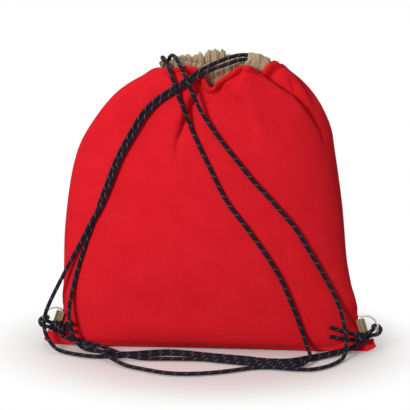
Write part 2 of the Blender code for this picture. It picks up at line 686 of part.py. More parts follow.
def channel_point(side, angle):
    """A point of the cord inside the casing: angle from the far opening, past which the cord turns back."""
    x = MOUTH_SHIFT - SIDES[side] * MOUTH_HALF_WIDTH * math.cos(angle)
    return np.array([x, MOUTH_HALF_DEPTH * math.sin(angle), CREST_HEIGHT - CORD_DROP[side]])


def channel_line(side):
    """The stretch of a cord inside both casings, round the far opening."""
    reach = math.pi / 2 + CASING_END - CHANNEL_STOP
    return np.array([channel_point(side, reach * (k / 30 - 1)) for k in range(61)])


def strand_route(side, strand):
    """The whole route of a strand: it starts just past the end of the stretch inside the casing."""
    facing = START_FACING[side][strand]
    start = [channel_point(side, facing * (math.pi / 2 + CASING_END + math.radians(a))) for a in (-2.5, 1)]
    return [Vector(p) for p in start] + [Vector(p) / 1000 for p in ROUTES[side][strand]]


def make_cords(finish):
    skin = skins()
    others = []
    for side in SIDES:
        loop, ends = knot_lines(side)
        middle = np.array(knot_middle(side))
        half = np.array([KNOT_LENGTH / 2 - 0.002, 0, 0])
        others.append(as_bars(np.array([middle - half, middle + half]), KNOT_RADIUS))
        others += [as_bars(np.array(smooth_line(line, 0.004)), CORD / 2) for line in (loop, *ends)]
        ring, out, bar = ring_frame(side)
        others.append(as_bars(np.array([ring - bar * 0.008, ring + bar * 0.008]), TAB_SLACK))
        channel = thin_line(channel_line(side))
        tube(f"cord_{side}_channel", channel, CORD / 2, finish)
    for side in ROUTES:
        far = as_bars(channel_line("left" if side == "right" else "right"), CORD / 2)
        for strand in ROUTES[side]:
            line = settle(strand_route(side, strand), skin, others + [far])
            others.append(as_bars(line, CORD / 2))
            tube(f"cord_{side}_strand_{strand}", thin_line(line), CORD / 2, finish)


def clear_scene():
    for obj in list(bpy.data.objects):
        bpy.data.objects.remove(obj, do_unlink=True)


def build():
    clear_scene()
    red = material("red_fleece", (0.68, 0.02, 0.035), 0.9)
    make_panel("strap_side_panel", "front", red)
    make_panel("outer_side_panel", "back", red)
    khaki = material("khaki_nylon", (0.39, 0.27, 0.155), 0.6)
    make_casing("strap_side_casing", -1, khaki)
    make_casing("outer_side_casing", 1, khaki)
    metal = material("nickel_wire", (0.75, 0.73, 0.70), 0.25, 1.0)
    navy = material("navy_cord", (0.016, 0.019, 0.045), 0.7)
    for side in SIDES:
        make_ring(side, metal)
        make_tab(side, khaki)
        make_knot(side, navy)
    make_cords(navy)


build()
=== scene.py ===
# %% [markdown]
# # A drawstring knapsack in red fleece
# A stuffed bag stands on its base with its strap side to the camera. Two cords draw its khaki casing shut, run
# down the front as shoulder straps and are tied to small metal rings at the bottom corners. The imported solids
# give every size and place. This lesson dresses them in cloth, braid and metal.

# %% Load the solids
import json
import math
import time

import bpy
import numpy as np
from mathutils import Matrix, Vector
from mathutils.bvhtree import BVHTree

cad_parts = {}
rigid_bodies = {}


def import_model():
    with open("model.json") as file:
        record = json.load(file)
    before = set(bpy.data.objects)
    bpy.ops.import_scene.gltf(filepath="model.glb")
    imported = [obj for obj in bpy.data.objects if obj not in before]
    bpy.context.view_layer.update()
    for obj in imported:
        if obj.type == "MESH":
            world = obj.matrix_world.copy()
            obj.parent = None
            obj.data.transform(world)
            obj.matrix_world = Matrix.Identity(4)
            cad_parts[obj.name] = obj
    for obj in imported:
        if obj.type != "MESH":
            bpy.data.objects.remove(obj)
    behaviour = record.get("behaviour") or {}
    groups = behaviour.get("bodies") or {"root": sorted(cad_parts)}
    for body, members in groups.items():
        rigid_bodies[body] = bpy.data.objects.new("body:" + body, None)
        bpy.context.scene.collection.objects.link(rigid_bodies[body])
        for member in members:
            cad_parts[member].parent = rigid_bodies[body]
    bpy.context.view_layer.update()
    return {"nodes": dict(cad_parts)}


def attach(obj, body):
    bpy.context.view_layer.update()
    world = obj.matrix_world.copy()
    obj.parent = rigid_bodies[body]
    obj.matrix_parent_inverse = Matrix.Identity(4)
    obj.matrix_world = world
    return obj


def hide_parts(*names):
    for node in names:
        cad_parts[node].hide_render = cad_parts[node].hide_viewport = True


began = time.time()
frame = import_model()
print("solids:", sorted(frame["nodes"]))


def deselect():
    """Operators act on whatever is selected, so each step starts with nothing selected."""
    for thing in bpy.context.view_layer.objects:
        thing.select_set(False)


def put(name, data):
    """A new object with this data, in the scene."""
    made = bpy.data.objects.new(name, data)
    bpy.context.scene.collection.objects.link(made)
    return made


# %% [markdown]
# ## Camera and light
# The photograph looks slightly down and slightly from the right, from far away, so that the sides of the bag
# hardly narrow. A long lens two metres back gives that. The light is a large soft lamp to the left of the
# camera, a weak one on the right, one overhead and an even white world, which leaves the right flank of the bag
# a little darker.

# %% Place the camera
AZIMUTH, ELEVATION, DISTANCE = math.radians(4.3), math.radians(14.0), 2.2
target = Vector((-0.0032, 0.0, 0.1488))
lens = bpy.data.cameras.new("camera")
lens.lens, lens.sensor_width = 178.9, 36.0  # millimetres
camera = put("camera", lens)
level = math.cos(ELEVATION)
back = Vector((math.sin(AZIMUTH) * level, -math.cos(AZIMUTH) * level, math.sin(ELEVATION)))
camera.location = target + back * DISTANCE
camera.rotation_euler = (-back).to_track_quat("-Z", "Y").to_euler()
bpy.context.scene.camera = camera
bpy.context.scene.view_settings.view_transform = "Standard"
print("camera at", [round(c, 3) for c in camera.location])


# %% Hang the lamps
def lamp(name, place, size, power):
    """A square soft lamp that faces the middle of the bag."""
    light = bpy.data.lights.new(name, "AREA")
    light.size, light.energy = size, power
    made = put(name, light)
    made.location = place
    made.rotation_euler = (target - Vector(place)).to_track_quat("-Z", "Y").to_euler()


lamp("key_lamp", (-1.0, -2.0, 1.0), 0.6, 37.5)
lamp("fill_lamp", (1.6, -1.4, 0.9), 1.2, 1.0)
lamp("top_lamp", (-0.3, 0.2, 1.9), 1.0, 5.0)

# %% [markdown]
# ## Shader maths in Python
# Node trees are long-winded to wire. A small class wraps one output socket, and its operators add Math nodes,
# so a pattern reads like the formula it is.


# %% A socket with operators
def connect(tree, plug, value):
    """Give an input another node's output, a number or a colour."""
    if isinstance(value, Socket):
        tree.links.new(value.out, plug)
    else:
        plug.default_value = value if isinstance(value, float) else (*value, 1.0)


class Socket:
    """One output of a node, usable in an expression."""

    def __init__(self, tree, out):
        self.tree, self.out = tree, out

    def node(self, kind, out=0, **values):
        """One output of a new node. Settings start with a small letter. Inputs start with a capital, or have
        their number after an underscore."""
        made = self.tree.nodes.new(kind)
        for name, value in values.items():
            if name[0].islower():
                setattr(made, name, value)
            else:
                plug = int(name[1:]) if name[0] == "_" else name.replace("_", " ")
                connect(self.tree, made.inputs[plug], value)
        return Socket(self.tree, made.outputs[out])

    def math(self, operation, other=0.0, swap=False):
        first, second = (other, self) if swap else (self, other)
        return self.node("ShaderNodeMath", operation=operation, _0=first, _1=second)

    def __add__(self, other): return self.math("ADD", other)
    def __sub__(self, other): return self.math("SUBTRACT", other)
    def __rsub__(self, other): return self.math("SUBTRACT", other, swap=True)
    def __mul__(self, other): return self.math("MULTIPLY", other)
    def __truediv__(self, other): return self.math("DIVIDE", other)
    def sine(self): return self.math("SINE")
    def size(self): return self.math("ABSOLUTE")
    def part(self): return self.math("FRACT")
    def clamp(self): return self.node("ShaderNodeClamp", Value=self)

    def band(self, low, high):
        """0 below low, 1 above high and smooth between."""
        return self.node("ShaderNodeMapRange", interpolation_type="SMOOTHSTEP", Value=self,
                         From_Min=low, From_Max=high)

    def mix(self, first, second):
        """A blend of two colours with this socket as the factor."""
        return self.node("ShaderNodeMix", 2, data_type="RGBA", _0=self, _6=first, _7=second)

    def first_two(self):
        """The first two numbers of a place, as two sockets."""
        first = self.node("ShaderNodeSeparateXYZ", _0=self)
        return first, Socket(self.tree, first.out.node.outputs[1])


class Finish:
    """A material being built: places to read from, and the shader to feed."""

    def __init__(self, name, **inputs):
        self.material = bpy.data.materials.new(name)
        self.material.use_nodes = True
        self.tree = self.material.node_tree
        self.shader = self.tree.nodes["Principled BSDF"]
        for key, value in inputs.items():
            connect(self.tree, self.shader.inputs[key.replace("_", " ")], value)

    def place(self):
        """Object coordinates, in metres."""
        made = self.tree.nodes.new("ShaderNodeTexCoord")
        return Socket(self.tree, made.outputs["Object"])

    def surface(self):
        """The piece's own u and v, both in metres, as two sockets."""
        made = self.tree.nodes.new("ShaderNodeUVMap")
        return Socket(self.tree, made.outputs[0]).first_two()

    def noise(self, scale, detail, roughness):
        at = self.place()
        return at.node("ShaderNodeTexNoise", Vector=at, Scale=scale, Detail=detail, Roughness=roughness)

    def feed(self, name, socket):
        self.tree.links.new(socket.out, self.shader.inputs[name])

    def bump(self, height, depth, strength):
        """Height from 0 to 1 raised by a depth in metres."""
        self.feed("Normal", height.node("ShaderNodeBump", Strength=strength, Distance=depth, Height=height))


# %% [markdown]
# ## Floor
# The bag stands on a white sweep. The floor is nearly white and keeps the soft shadow. Away from the bag it
# fades into the white that the camera, metal and glass see in the world. The shaders ask what kind of ray they
# meet, so neither changes the light that falls on the bag.

# %% Mix two shaders by the kind of ray
def looking(tree):
    """1 for rays that the camera, a mirror or glass looks along, 0 for rays that carry light."""
    rays = tree.nodes.new("ShaderNodeLightPath")
    eye, mirror, glass = (Socket(tree, rays.outputs[f"Is {kind} Ray"])
                          for kind in ("Camera", "Glossy", "Transmission"))
    return eye.math("MAXIMUM", mirror).math("MAXIMUM", glass)


def blend_shaders(tree, factor, first, second, output):
    """Send a blend of two shader nodes to an output node."""
    blend = tree.nodes.new("ShaderNodeMixShader")
    tree.links.new(factor.out, blend.inputs[0])
    tree.links.new(first.outputs[0], blend.inputs[1])
    tree.links.new(second.outputs[0], blend.inputs[2])
    tree.links.new(blend.outputs[0], tree.nodes[output].inputs["Surface"])


# %% Lay the floor
FADE_FROM, FADE_TO = 0.13, 0.26  # metres from the middle of the fade, which lies in front of the bag
FADE_MIDDLE, FADE_SQUEEZE = 0.03, 1.4
deselect()
bpy.ops.mesh.primitive_plane_add(size=7.0, location=(0, 0, 0))
floor = bpy.context.object
floor.name = "floor"
sweep_white = Finish("white_sweep", Roughness=0.9, Specular_IOR_Level=0.2)
tree = sweep_white.tree
across, deep = sweep_white.place().first_two()
forward = deep + FADE_MIDDLE
away = (across * across + forward * forward * FADE_SQUEEZE).math("SQRT")
paper = tree.nodes.new("ShaderNodeEmission")
paper.inputs[0].default_value = (1.0, 1.0, 1.0, 1.0)
seen = looking(tree)
# Darker for light that bounces off it, so that the bag's underside isn't lit up
sweep_white.feed("Base Color", seen.mix((0.22, 0.21, 0.205), (0.93, 0.905, 0.890)))
blend_shaders(tree, away.band(FADE_FROM, FADE_TO) * seen, sweep_white.shader, paper, "Material Output")
floor.data.materials.append(sweep_white.material)

# %% Light the world
world = bpy.data.worlds.new("studio")
bpy.context.scene.world = world
world.use_nodes = True
tree = world.node_tree
even, white = tree.nodes["Background"], tree.nodes.new("ShaderNodeBackground")
for background, colour, strength in ((even, (1.0, 0.99, 0.98), 0.34), (white, (1.0, 1.0, 1.0), 1.0)):
    connect(tree, background.inputs["Color"], colour)
    connect(tree, background.inputs["Strength"], strength)
blend_shaders(tree, looking(tree), even, white, "World Output")
print("stage ready")

# %% [markdown]
# ## The shape of the bag
# The bag is two flat panels sewn together and stuffed, so every level of it is a lens shape that gets rounder
# towards the top. The tables below give its outline by height, and one function turns them into a row of
# points of either panel. Angles run round a panel from -90 to 90 degrees, with 0 at its middle.

# %% Sizes of the bag
GAP = 0.0003  # kept between two pieces that touch
FLEECE = 0.002
BODY_HALF_WIDTH, FRONT_DEPTH, BACK_DEPTH, CREST = 0.1573, 0.0600, 0.0800, 0.3025
SEAM_FORWARD, CORNER_SHIFT, MOUTH_SHIFT, EAR_REACH = 0.0450, 0.0045, 0.0100, 0.1788
MOUTH_HALF_WIDTH, MOUTH_HALF_DEPTH = 0.0500, 0.0180
CASING_FOOT, CASING_HALF_GAP, CASING_CLOTH = 0.2810, 0.0038, 0.0008
CASING_END = math.radians(70)
BASE_HALF_DEPTH = 0.045
# Outline of the stuffed body: pairs of a share of the crest's height and a share of the named size
WIDTH = [(0.0, 0.74), (0.016, 0.83), (0.036, 0.905), (0.066, 0.940), (0.105, 0.976), (0.15, 1.0),
         (0.22, 0.977), (0.30, 0.960), (0.40, 0.948), (0.50, 0.930), (0.60, 0.902), (0.69, 0.866),
         (0.76, 0.822), (0.82, 0.766), (0.87, 0.710), (0.915, 0.644), (0.95, 0.572), (0.98, 0.490)]
FRONT = [(0.0, 0.74), (0.016, 0.762), (0.036, 0.80), (0.066, 0.85), (0.105, 0.895), (0.15, 0.935),
         (0.22, 0.978), (0.30, 1.0), (0.40, 0.99), (0.50, 0.94), (0.60, 0.875), (0.69, 0.81),
         (0.76, 0.745), (0.82, 0.685), (0.87, 0.635), (0.915, 0.59), (0.95, 0.54), (0.98, 0.475)]
BACK = [(0.0, 0.50), (0.03, 0.72), (0.066, 0.82), (0.11, 0.90), (0.17, 0.965), (0.25, 0.995),
        (0.33, 1.0), (0.43, 0.98), (0.53, 0.93), (0.63, 0.86), (0.71, 0.785), (0.78, 0.71),
        (0.83, 0.65), (0.87, 0.60), (0.915, 0.545), (0.95, 0.485), (0.98, 0.42)]
SEAM = [(0.0, 1.0), (0.13, 0.77), (0.22, 0.60), (0.30, 0.45), (0.40, 0.30), (0.50, 0.17),
        (0.60, 0.09), (0.69, 0.03), (0.76, 0.0), (1.0, 0.0)]
FOOT_LEAN = [(0.0, 1.0), (0.14, 0.95), (0.25, 0.25), (0.33, -0.15), (0.50, -0.3), (0.68, -0.4), (0.80, 0.0),
             (1.0, 0.0)]
MOUTH_LEAN = [(0.0, 0.0), (0.70, 0.0), (0.78, 0.3), (0.86, 0.5), (0.93, 0.65), (1.0, 1.0)]
EAR = [(0.0, 0.915), (0.0132, 0.975), (0.0231, 1.0), (0.032, 0.992), (0.046, 0.972), (0.064, 0.950),
       (0.085, 0.925), (0.105, 0.905), (0.14, 0.868)]
# How far the ears' edges lie back behind the rings, and how far the front's foot rolls under and bulges above
EAR_BACK, ROLL_UNDER, ROLL_OUT = 0.0050, 0.0040, 0.0030


# %% Read a table and place a point
def along(table, t):
    """The smooth curve through a table's points, read at t."""
    xs, ys = [x for x, _ in table], [y for _, y in table]
    if t <= xs[0] or t >= xs[-1]:
        return ys[0] if t <= xs[0] else ys[-1]
    k = max(i for i, x in enumerate(xs) if x <= t)
    slope = [(b - a) / (q - p) for a, b, p, q in zip(ys, ys[1:], xs, xs[1:])]
    before, after = slope[max(k - 1, 0)], slope[min(k + 1, len(slope) - 1)]
    start, end = (before + slope[k]) / 2, (slope[k] + after) / 2
    span = xs[k + 1] - xs[k]
    s = (t - xs[k]) / span
    return (ys[k] * (2 * s**3 - 3 * s**2 + 1) + start * span * (s**3 - 2 * s**2 + s)
            + ys[k + 1] * (3 * s**2 - 2 * s**3) + end * span * (s**3 - s**2))


def ease(low, high, value):
    s = np.clip((value - low) / (high - low), 0.0, 1.0)
    return s * s * (3 - 2 * s)


def centre_x(t):
    return CORNER_SHIFT * along(FOOT_LEAN, t) + MOUTH_SHIFT * along(MOUTH_LEAN, t)


def seam_depth(t):
    return -SEAM_FORWARD * along(SEAM, t)


def body_row(t, front, angles):
    """One level of a panel: a row of points at height share t."""
    body = BODY_HALF_WIDTH * along(WIDTH, t)
    edge = max(body, EAR_REACH * along(EAR, t)) if t < EAR[-1][0] else body
    seam = seam_depth(t)
    wall = -FRONT_DEPTH * along(FRONT, t) if front else BACK_DEPTH * along(BACK, t)
    reach = edge * np.sin(angles)
    fill = np.minimum(1.0, abs(reach) / body)
    # From a flattened lens at the foot to nearly an ellipse at the mouth
    square, lens_form = 2.4 - 0.4 * ease(0.6, 0.9, t), 1.45 + 0.55 * ease(0.05, 0.3, t)
    bulge = (1 - fill**square) ** (1 / lens_form)
    depth = seam + (wall - seam) * bulge
    # The ears lie back behind the rings, and the front foot rolls under with a small belly above it
    in_ear = ease(0.9 * BODY_HALF_WIDTH, 1.01 * BODY_HALF_WIDTH, abs(reach))
    depth = depth + EAR_BACK * (in_ear * ease(0.028, 0.045, t) * ease(0.19, 0.13, t))
    if front:
        under, belly = 1 - ease(0.0, 0.035, t), ease(0.01, 0.045, t) * ease(0.17, 0.05, t)
        depth = depth + (ROLL_UNDER * under - ROLL_OUT * belly) * bulge
    return np.stack([centre_x(t) + reach, depth, np.full_like(reach, CREST * t)], axis=1)


def floor_row(t, depth, angles):
    """A row of the outer panel where it lies flat under the bag."""
    row = body_row(t, False, angles)
    fill = np.minimum(1.0, abs(row[:, 0] - centre_x(t)) / (BODY_HALF_WIDTH * along(WIDTH, t)))
    seam = seam_depth(t)
    reach = max(0.0, depth * BASE_HALF_DEPTH - seam) + ROLL_UNDER * max(0.0, -depth)
    row[:, 1] = seam + reach * (1 - fill**2.4) ** 0.69
    row[:, 2] += (FLEECE - row[:, 2]) * (1 - ease(0.72, 1.0, fill))
    return row


def roll_row(out, height, front, angles):
    """A row where the fleece rolls over its crest and down to the casing."""
    seat = CASING_HALF_GAP + CASING_CLOTH + GAP + FLEECE + out
    x = MOUTH_SHIFT + (MOUTH_HALF_WIDTH + seat) * np.sin(angles)
    y = (-1 if front else 1) * (MOUTH_HALF_DEPTH + seat) * np.cos(angles)
    return np.stack([x, y, np.full_like(x, CREST * height)], axis=1)


# %% Skin a panel through its levels
def strides(points):
    """How far each point is from the one before it."""
    return np.linalg.norm(np.diff(points, axis=0), axis=-1)


def add_up(steps):
    return np.concatenate([[0], np.cumsum(steps)])


def with_ends(points):
    """The points with one more past each end, straight on."""
    return np.concatenate([points[:1] * 2 - points[1:2], points, points[-1:] * 2 - points[-2:-1]])


def smooth_rows(rows, count):
    """Rows spread evenly on smooth curves through the given rows."""
    rows = np.array(rows)
    padded = with_ends(rows)
    knots, lengths = add_up(strides(padded).mean(1) ** 0.5), add_up(strides(rows).mean(1))
    made = []
    for want in np.linspace(0, lengths[-1], count):
        k = min(len(rows) - 2, max(0, int(np.searchsorted(lengths, want, side="right")) - 1))
        s = (want - lengths[k]) / (lengths[k + 1] - lengths[k])
        nearby, knot = padded[k:k + 4], knots[k:k + 4]
        t = knot[1] + (knot[2] - knot[1]) * s
        # Four rows blend into three, three into two and two into one
        for spans in (((0, 1), (1, 2), (2, 3)), ((0, 2), (1, 3)), ((1, 2),)):
            nearby = [(knot[b] - t) / (knot[b] - knot[a]) * below + (t - knot[a]) / (knot[b] - knot[a]) * above
                      for (a, b), below, above in zip(spans, nearby, nearby[1:])]
        made.append(nearby[0])
    return np.array(made), lengths[-1]


def unit(vectors):
    return vectors / np.maximum(np.linalg.norm(vectors, axis=-1, keepdims=True), 1e-9)


def grid_normals(grid, outward):
    return unit(np.cross(np.gradient(grid, axis=1), np.gradient(grid, axis=0)) * -outward)


# Height shares of the foot's levels, each with where the outer side lies on the floor, from -1 in front to 1
FOOT = [(0.0067, -1.0), (0.0132, -0.5), (0.0231, 0.1), (0.029, 0.62)]
LEVELS = [0.036, 0.048, 0.066, 0.085, 0.105, 0.13, 0.15, 0.185, 0.22, 0.26, 0.30, 0.35, 0.40, 0.45, 0.50, 0.55,
          0.60, 0.645, 0.69, 0.725, 0.76, 0.79, 0.82, 0.845, 0.87, 0.8925, 0.915, 0.9325, 0.95, 0.965, 0.98]
ROLL = [(0.0118, 1.0), (0.0050, 0.985), (0.0, 0.962)]  # how far out from the casing, and height share
COLUMNS, ROWS = 241, 200


def panel_surface(front):
    """The inside face of a panel as a grid of points, with the columns' angles and its length."""
    angles = np.radians(np.linspace(-90, 90, COLUMNS))
    rows = [body_row(t, True, angles) if front else floor_row(t, depth, angles) for t, depth in FOOT]
    rows += [body_row(t, front, angles) for t in LEVELS]
    rows += [roll_row(out, height, front, angles) for out, height in ROLL]
    grid, length = smooth_rows(rows, ROWS)
    return grid, np.degrees(angles), length


# %% [markdown]
# ## Folds
# Drawing the cord shut crowds a wide panel into a small mouth, and the extra cloth goes into a few deep folds
# that run out and down like the creases of a paper bag. On the strap side two humps stand in front of a valley
# in the middle, and both lap over it. Each crease is drawn as a line on the panel. The cloth to the right of
# the line's direction stands high and laps over the line, and the cloth to its left sinks below it.

# %% Crease lines
# In millimetres. line: its points (x, z); high and low: how far the two sides move; wide: how far that reaches
# to each side; lap: how far the high edge leans over the line; ends: share of the line over which the crease
# fades at start and end; edge: half the width of the step between the two sides, where it isn't the sharp one
SHARP_EDGE = 1.1
CREASES = [
    dict(line=[(39, 303), (48, 300), (66, 289), (85, 274), (101, 254), (116, 236), (126, 214)],
         high=6.0, low=10.5, wide=(24, 10), lap=6.0, ends=(0.02, 0.5)),
    dict(line=[(78, 299), (94, 287), (106, 271), (120, 250)], high=2.0, low=3.0, wide=(9, 12), lap=1.5,
         ends=(0.1, 0.6)),
    dict(line=[(84, 288), (91, 278), (96, 268)], high=1.0, low=1.6, wide=(5, 6), lap=0.6, ends=(0.3, 0.5)),
    dict(line=[(-138, 190), (-129, 219), (-105, 246), (-79, 270), (-58, 287), (-44, 301)], high=4.6, low=8.0,
         wide=(20, 5), lap=5.0, ends=(0.5, 0.02)),
    dict(line=[(-134, 205), (-119, 242), (-95, 268), (-70, 287), (-58, 296)], high=2.6, low=5.0, wide=(7, 5),
         lap=2.8, ends=(0.5, 0.1)),
    dict(line=[(-3, 301), (-9, 293), (-14, 284), (-19, 272), (-26, 254), (-31, 232), (-34, 206)],
         high=5.0, low=10.0, wide=(18, 12), lap=3.0, ends=(0.3, 0.6)),
    dict(line=[(62, 222), (53, 246), (43, 263), (33, 276), (24, 287), (16, 300)],
         high=3.8, low=6.0, wide=(15, 17), lap=1.0, ends=(0.5, 0.1), edge=6.0),
    dict(line=[(-62, 238), (-50, 262), (-38, 288)], high=0.8, low=1.2, wide=(9, 9), lap=0.3, ends=(0.6, 0.3)),
]
# How far the crest of the strap side stands above its named height, in millimetres, by degrees round the mouth
CREST_LINE = [(-90, -8.0), (-80, -7.5), (-68, -5.5), (-55, -2.0), (-42, -1.5), (-35, 1.0), (-28, 3.0),
              (-21, 2.8), (-16, 0.6), (-12, -5.0), (-9.5, -11.5), (-7, -17.0), (-4, -19.5), (-0.5, -18.5),
              (2.0, -13.5), (4.0, -11.5), (10, -6.2), (17, -0.4), (22, 3.6), (25, 4.2), (29, 2.4),
              (35, -1.2), (42, -3.4), (48, -3.0), (52, 1.0), (57, 5.0), (64, 5.0), (75, 1.5), (84, -1.0),
              (90, -2.0)]
OUTER_CREST = [(-90, -8.0), (-70, -7.5), (-50, -5.0), (-30, -1.0), (0, 2.0), (40, 2.0), (65, 0.5), (90, -2.0)]
# The outer side has plain round folds: angle at the crest and at the foot, foot's height share, width, depth
OUTER_FOLDS = [(-52, -70, 0.64, 9, 0.016), (-30, -40, 0.74, 5, 0.005), (-6, -2, 0.60, 9, 0.016),
               (20, 30, 0.74, 5, 0.005), (44, 62, 0.62, 9, 0.017), (70, 80, 0.76, 5, 0.004)]


# %% Fold the panels
def beside(line, x, z):
    """Signed distance from a line, positive on its right, and the share of its length at the nearest point."""
    line = np.array(line, dtype=float)
    near, side, share = np.full(x.shape, 1e9), np.zeros(x.shape), np.zeros(x.shape)
    steps, lengths = np.diff(line, axis=0), strides(line)
    done = add_up(lengths)
    for start, step, length, past in zip(line, steps, lengths, done):
        dx, dz = x - start[0], z - start[1]
        t = np.clip((dx * step[0] + dz * step[1]) / length**2, 0, 1)
        ox, oz = dx - t * step[0], dz - t * step[1]
        far = np.hypot(ox, oz)
        closer = far < near
        near = np.where(closer, far, near)
        side = np.where(closer, -np.sign(step[0] * dz - step[1] * dx), side)
        share = np.where(closer, (past + t * length) / done[-1], share)
    return near * side, share


PAST_END = 12.0  # millimetres past the end of a line over which its crease dies away
LAP_PLACE, LAP_WIDTH = 1.0, 4.5  # where beside the line the cloth leans most, and over what width


def crease_moves(grid, across, up):
    """Height of the creases over the cloth, and their lean along it, in metres."""
    x, z = grid[:, :, 0] * 1000, grid[:, :, 2] * 1000
    rise, lean = np.zeros(x.shape), np.zeros(grid.shape)
    for crease in CREASES:
        apart, share = beside(crease["line"], x, z)
        (start, end), edge = crease["ends"], crease.get("edge", SHARP_EDGE)
        fade = ease(0.0, start + 1e-6, share) * (1 - ease(1 - end, 1.0 + 1e-6, share))
        beyond = np.where((share <= 0) | (share >= 1), abs(apart), 0)
        fade = fade * (1 - ease(0.0, PAST_END, beyond))
        wide_high, wide_low = crease["wide"]
        high = crease["high"] * np.exp(-(np.maximum(apart, 0) / wide_high) ** 1.6)
        low = -crease["low"] * np.exp(-(np.maximum(-apart, 0) / wide_low) ** 1.2)
        rise += fade * (low + (high - low) * ease(-edge, edge, apart)) / 1000
        way = np.subtract(crease["line"][-1], crease["line"][0])
        way = way / np.linalg.norm(way)
        over = np.exp(-((apart - LAP_PLACE) / LAP_WIDTH) ** 2) * fade * crease["lap"] / 1000
        lean[:, :, 0] += -way[1] * over
        lean[:, :, 2] += way[0] * over
    flat = (lean * across).sum(2, keepdims=True) * across + (lean * up).sum(2, keepdims=True) * up
    return rise, flat


SEAM_DEGREES = 9.0  # beside the side seams the folds die away over this angle


def folded_panel(front):
    """A panel's inside face with its folds."""
    outward = -1 if front else 1
    grid, angles, length = panel_surface(front)
    normals = grid_normals(grid, outward)
    heights = np.clip(grid[:, :, 2] / CREST, 0, 1)
    crest_row = int(np.argmax(grid[:, COLUMNS // 2, 2]))
    heights[crest_row:] = 1.0
    past = np.zeros((ROWS, 1))
    past[crest_row:, 0] = np.linspace(0, 1, ROWS - crest_row)
    lift = ease(0.76, 1.0, heights)
    crest = np.array([along(CREST_LINE if front else OUTER_CREST, a) for a in angles]) / 1000
    off_seam = ease(0.0, SEAM_DEGREES, 90 - abs(angles))
    if front:
        rise, lean = crease_moves(grid, unit(np.gradient(grid, axis=1)), unit(np.gradient(grid, axis=0)))
        rise[crest_row:], lean[crest_row:] = rise[crest_row], lean[crest_row]
        share = off_seam[None, :] * (1 - past)
        rise, lean = rise * share, lean * share[:, :, None]
        sink = ease(0.90, 0.99, heights)[:, :, None]
        way = normals * (1 - sink) + np.array([0, -1.0, 0.15]) * sink
        grid = grid + way * rise[:, :, None] + lean
    else:
        deepest = np.zeros(heights.shape)
        for top, foot, fades, width, depth in OUTER_FOLDS:
            run = np.clip((1 - heights) / (1 - fades), 0, 1)
            line = top + (foot - top) * run**1.6
            fade = (1 - ease(0.0, 1.0, run)) * off_seam
            shape = np.exp(-((angles - line) / (width * (1 + 0.5 * run))) ** 2)
            deepest = np.maximum(deepest, depth * fade * shape)
        sink = ease(0.84, 0.97, heights)[:, :, None]
        way = normals * (1 - sink) + np.array([0, 0, 1.0]) * sink
        grid = grid - way * (deepest * (1 - 0.65 * past))[:, :, None]
    # Raised cloth comes back down to the casing behind the crest, and sunk cloth stays down
    grid[:, :, 2] += crest * lift * np.where(crest > 0, 1 - past, 1 - 0.15 * past)
    inner = grid[1:-1, 1:-1]
    around = (grid[:-2, 1:-1] + grid[2:, 1:-1] + grid[1:-1, :-2] + grid[1:-1, 2:]) / 4
    grid[1:-1, 1:-1] = inner + 0.5 * (around - inner)
    grid[:, :, 1] += outward * GAP * (0.5 + lift)
    return grid, length


def grid_mesh(name, grid, flip, uv_size):
    """A mesh from a grid of points, with u and v in metres."""
    rows, columns = grid.shape[:2]
    index = np.arange(rows * columns).reshape(rows, columns)
    quads = np.stack([index[:-1, :-1], index[:-1, 1:], index[1:, 1:], index[1:, :-1]], axis=-1).reshape(-1, 4)
    if flip:
        quads = quads[:, ::-1]
    mesh = bpy.data.meshes.new(name)
    mesh.from_pydata(grid.reshape(-1, 3).tolist(), [], quads.tolist())
    u, v = np.meshgrid(np.linspace(0, uv_size[0], columns), np.linspace(0, uv_size[1], rows))
    flat = np.stack([u.reshape(-1), v.reshape(-1)], axis=1)[quads.reshape(-1)]
    mesh.uv_layers.new(name="cloth").data.foreach_set("uv", flat.reshape(-1))
    mesh.validate()
    mesh.shade_smooth()
    return put(name, mesh)


def apply_modifiers(piece):
    deselect()
    bpy.context.view_layer.objects.active = piece
    piece.select_set(True)
    for modifier in list(piece.modifiers):
        bpy.ops.object.modifier_apply(modifier=modifier.name)


def give_wall(piece, thickness, offset):
    wall = piece.modifiers.new("wall", "SOLIDIFY")
    wall.thickness, wall.offset = thickness, offset
    apply_modifiers(piece)


PANEL_WIDTH = 0.36  # flat
strap_grid, strap_length = folded_panel(True)
outer_grid, outer_length = folded_panel(False)
strap_panel = grid_mesh("strap_side_fleece", strap_grid, False, (PANEL_WIDTH, strap_length))
outer_panel = grid_mesh("outer_side_fleece", outer_grid, True, (PANEL_WIDTH, outer_length))
print("panel lengths from seam to lap:", round(strap_length, 3), round(outer_length, 3))

# %% [markdown]
# ## Fleece
# Fleece is knitted cloth brushed until its surface is a short soft nap. It has no shine. What shows is a fine
# uneven grain, slightly lighter where the nap stands up, and a faint cloudiness over the whole panel.

# %% Make the fleece
fleece = Finish("red_fleece", Roughness=0.92, Specular_IOR_Level=0.08, Sheen_Weight=0.09, Sheen_Roughness=0.4,
                Sheen_Tint=(1.0, 0.35, 0.32))
nap = fleece.noise(1500.0, 3.0, 0.7)
cloud = fleece.noise(38.0, 3.0, 0.55)
pill = fleece.noise(420.0, 2.0, 0.6)
tone = (nap.band(0.3, 0.75) * 0.75 + cloud.band(0.25, 0.8) * 0.25).clamp()
fleece.feed("Base Color", tone.mix((0.66, 0.0070, 0.0165), (0.88, 0.0190, 0.0300)))
fleece.bump(nap * 0.6 + pill * 0.4, 0.0007, 0.55)
for piece in (strap_panel, outer_panel):
    piece.data.materials.append(fleece.material)
    give_wall(piece, FLEECE, 1.0)
    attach(piece, "bag")
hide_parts("strap_side_panel")
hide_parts("outer_side_panel")
print("fleece faces:", len(strap_panel.data.polygons), len(outer_panel.data.polygons))

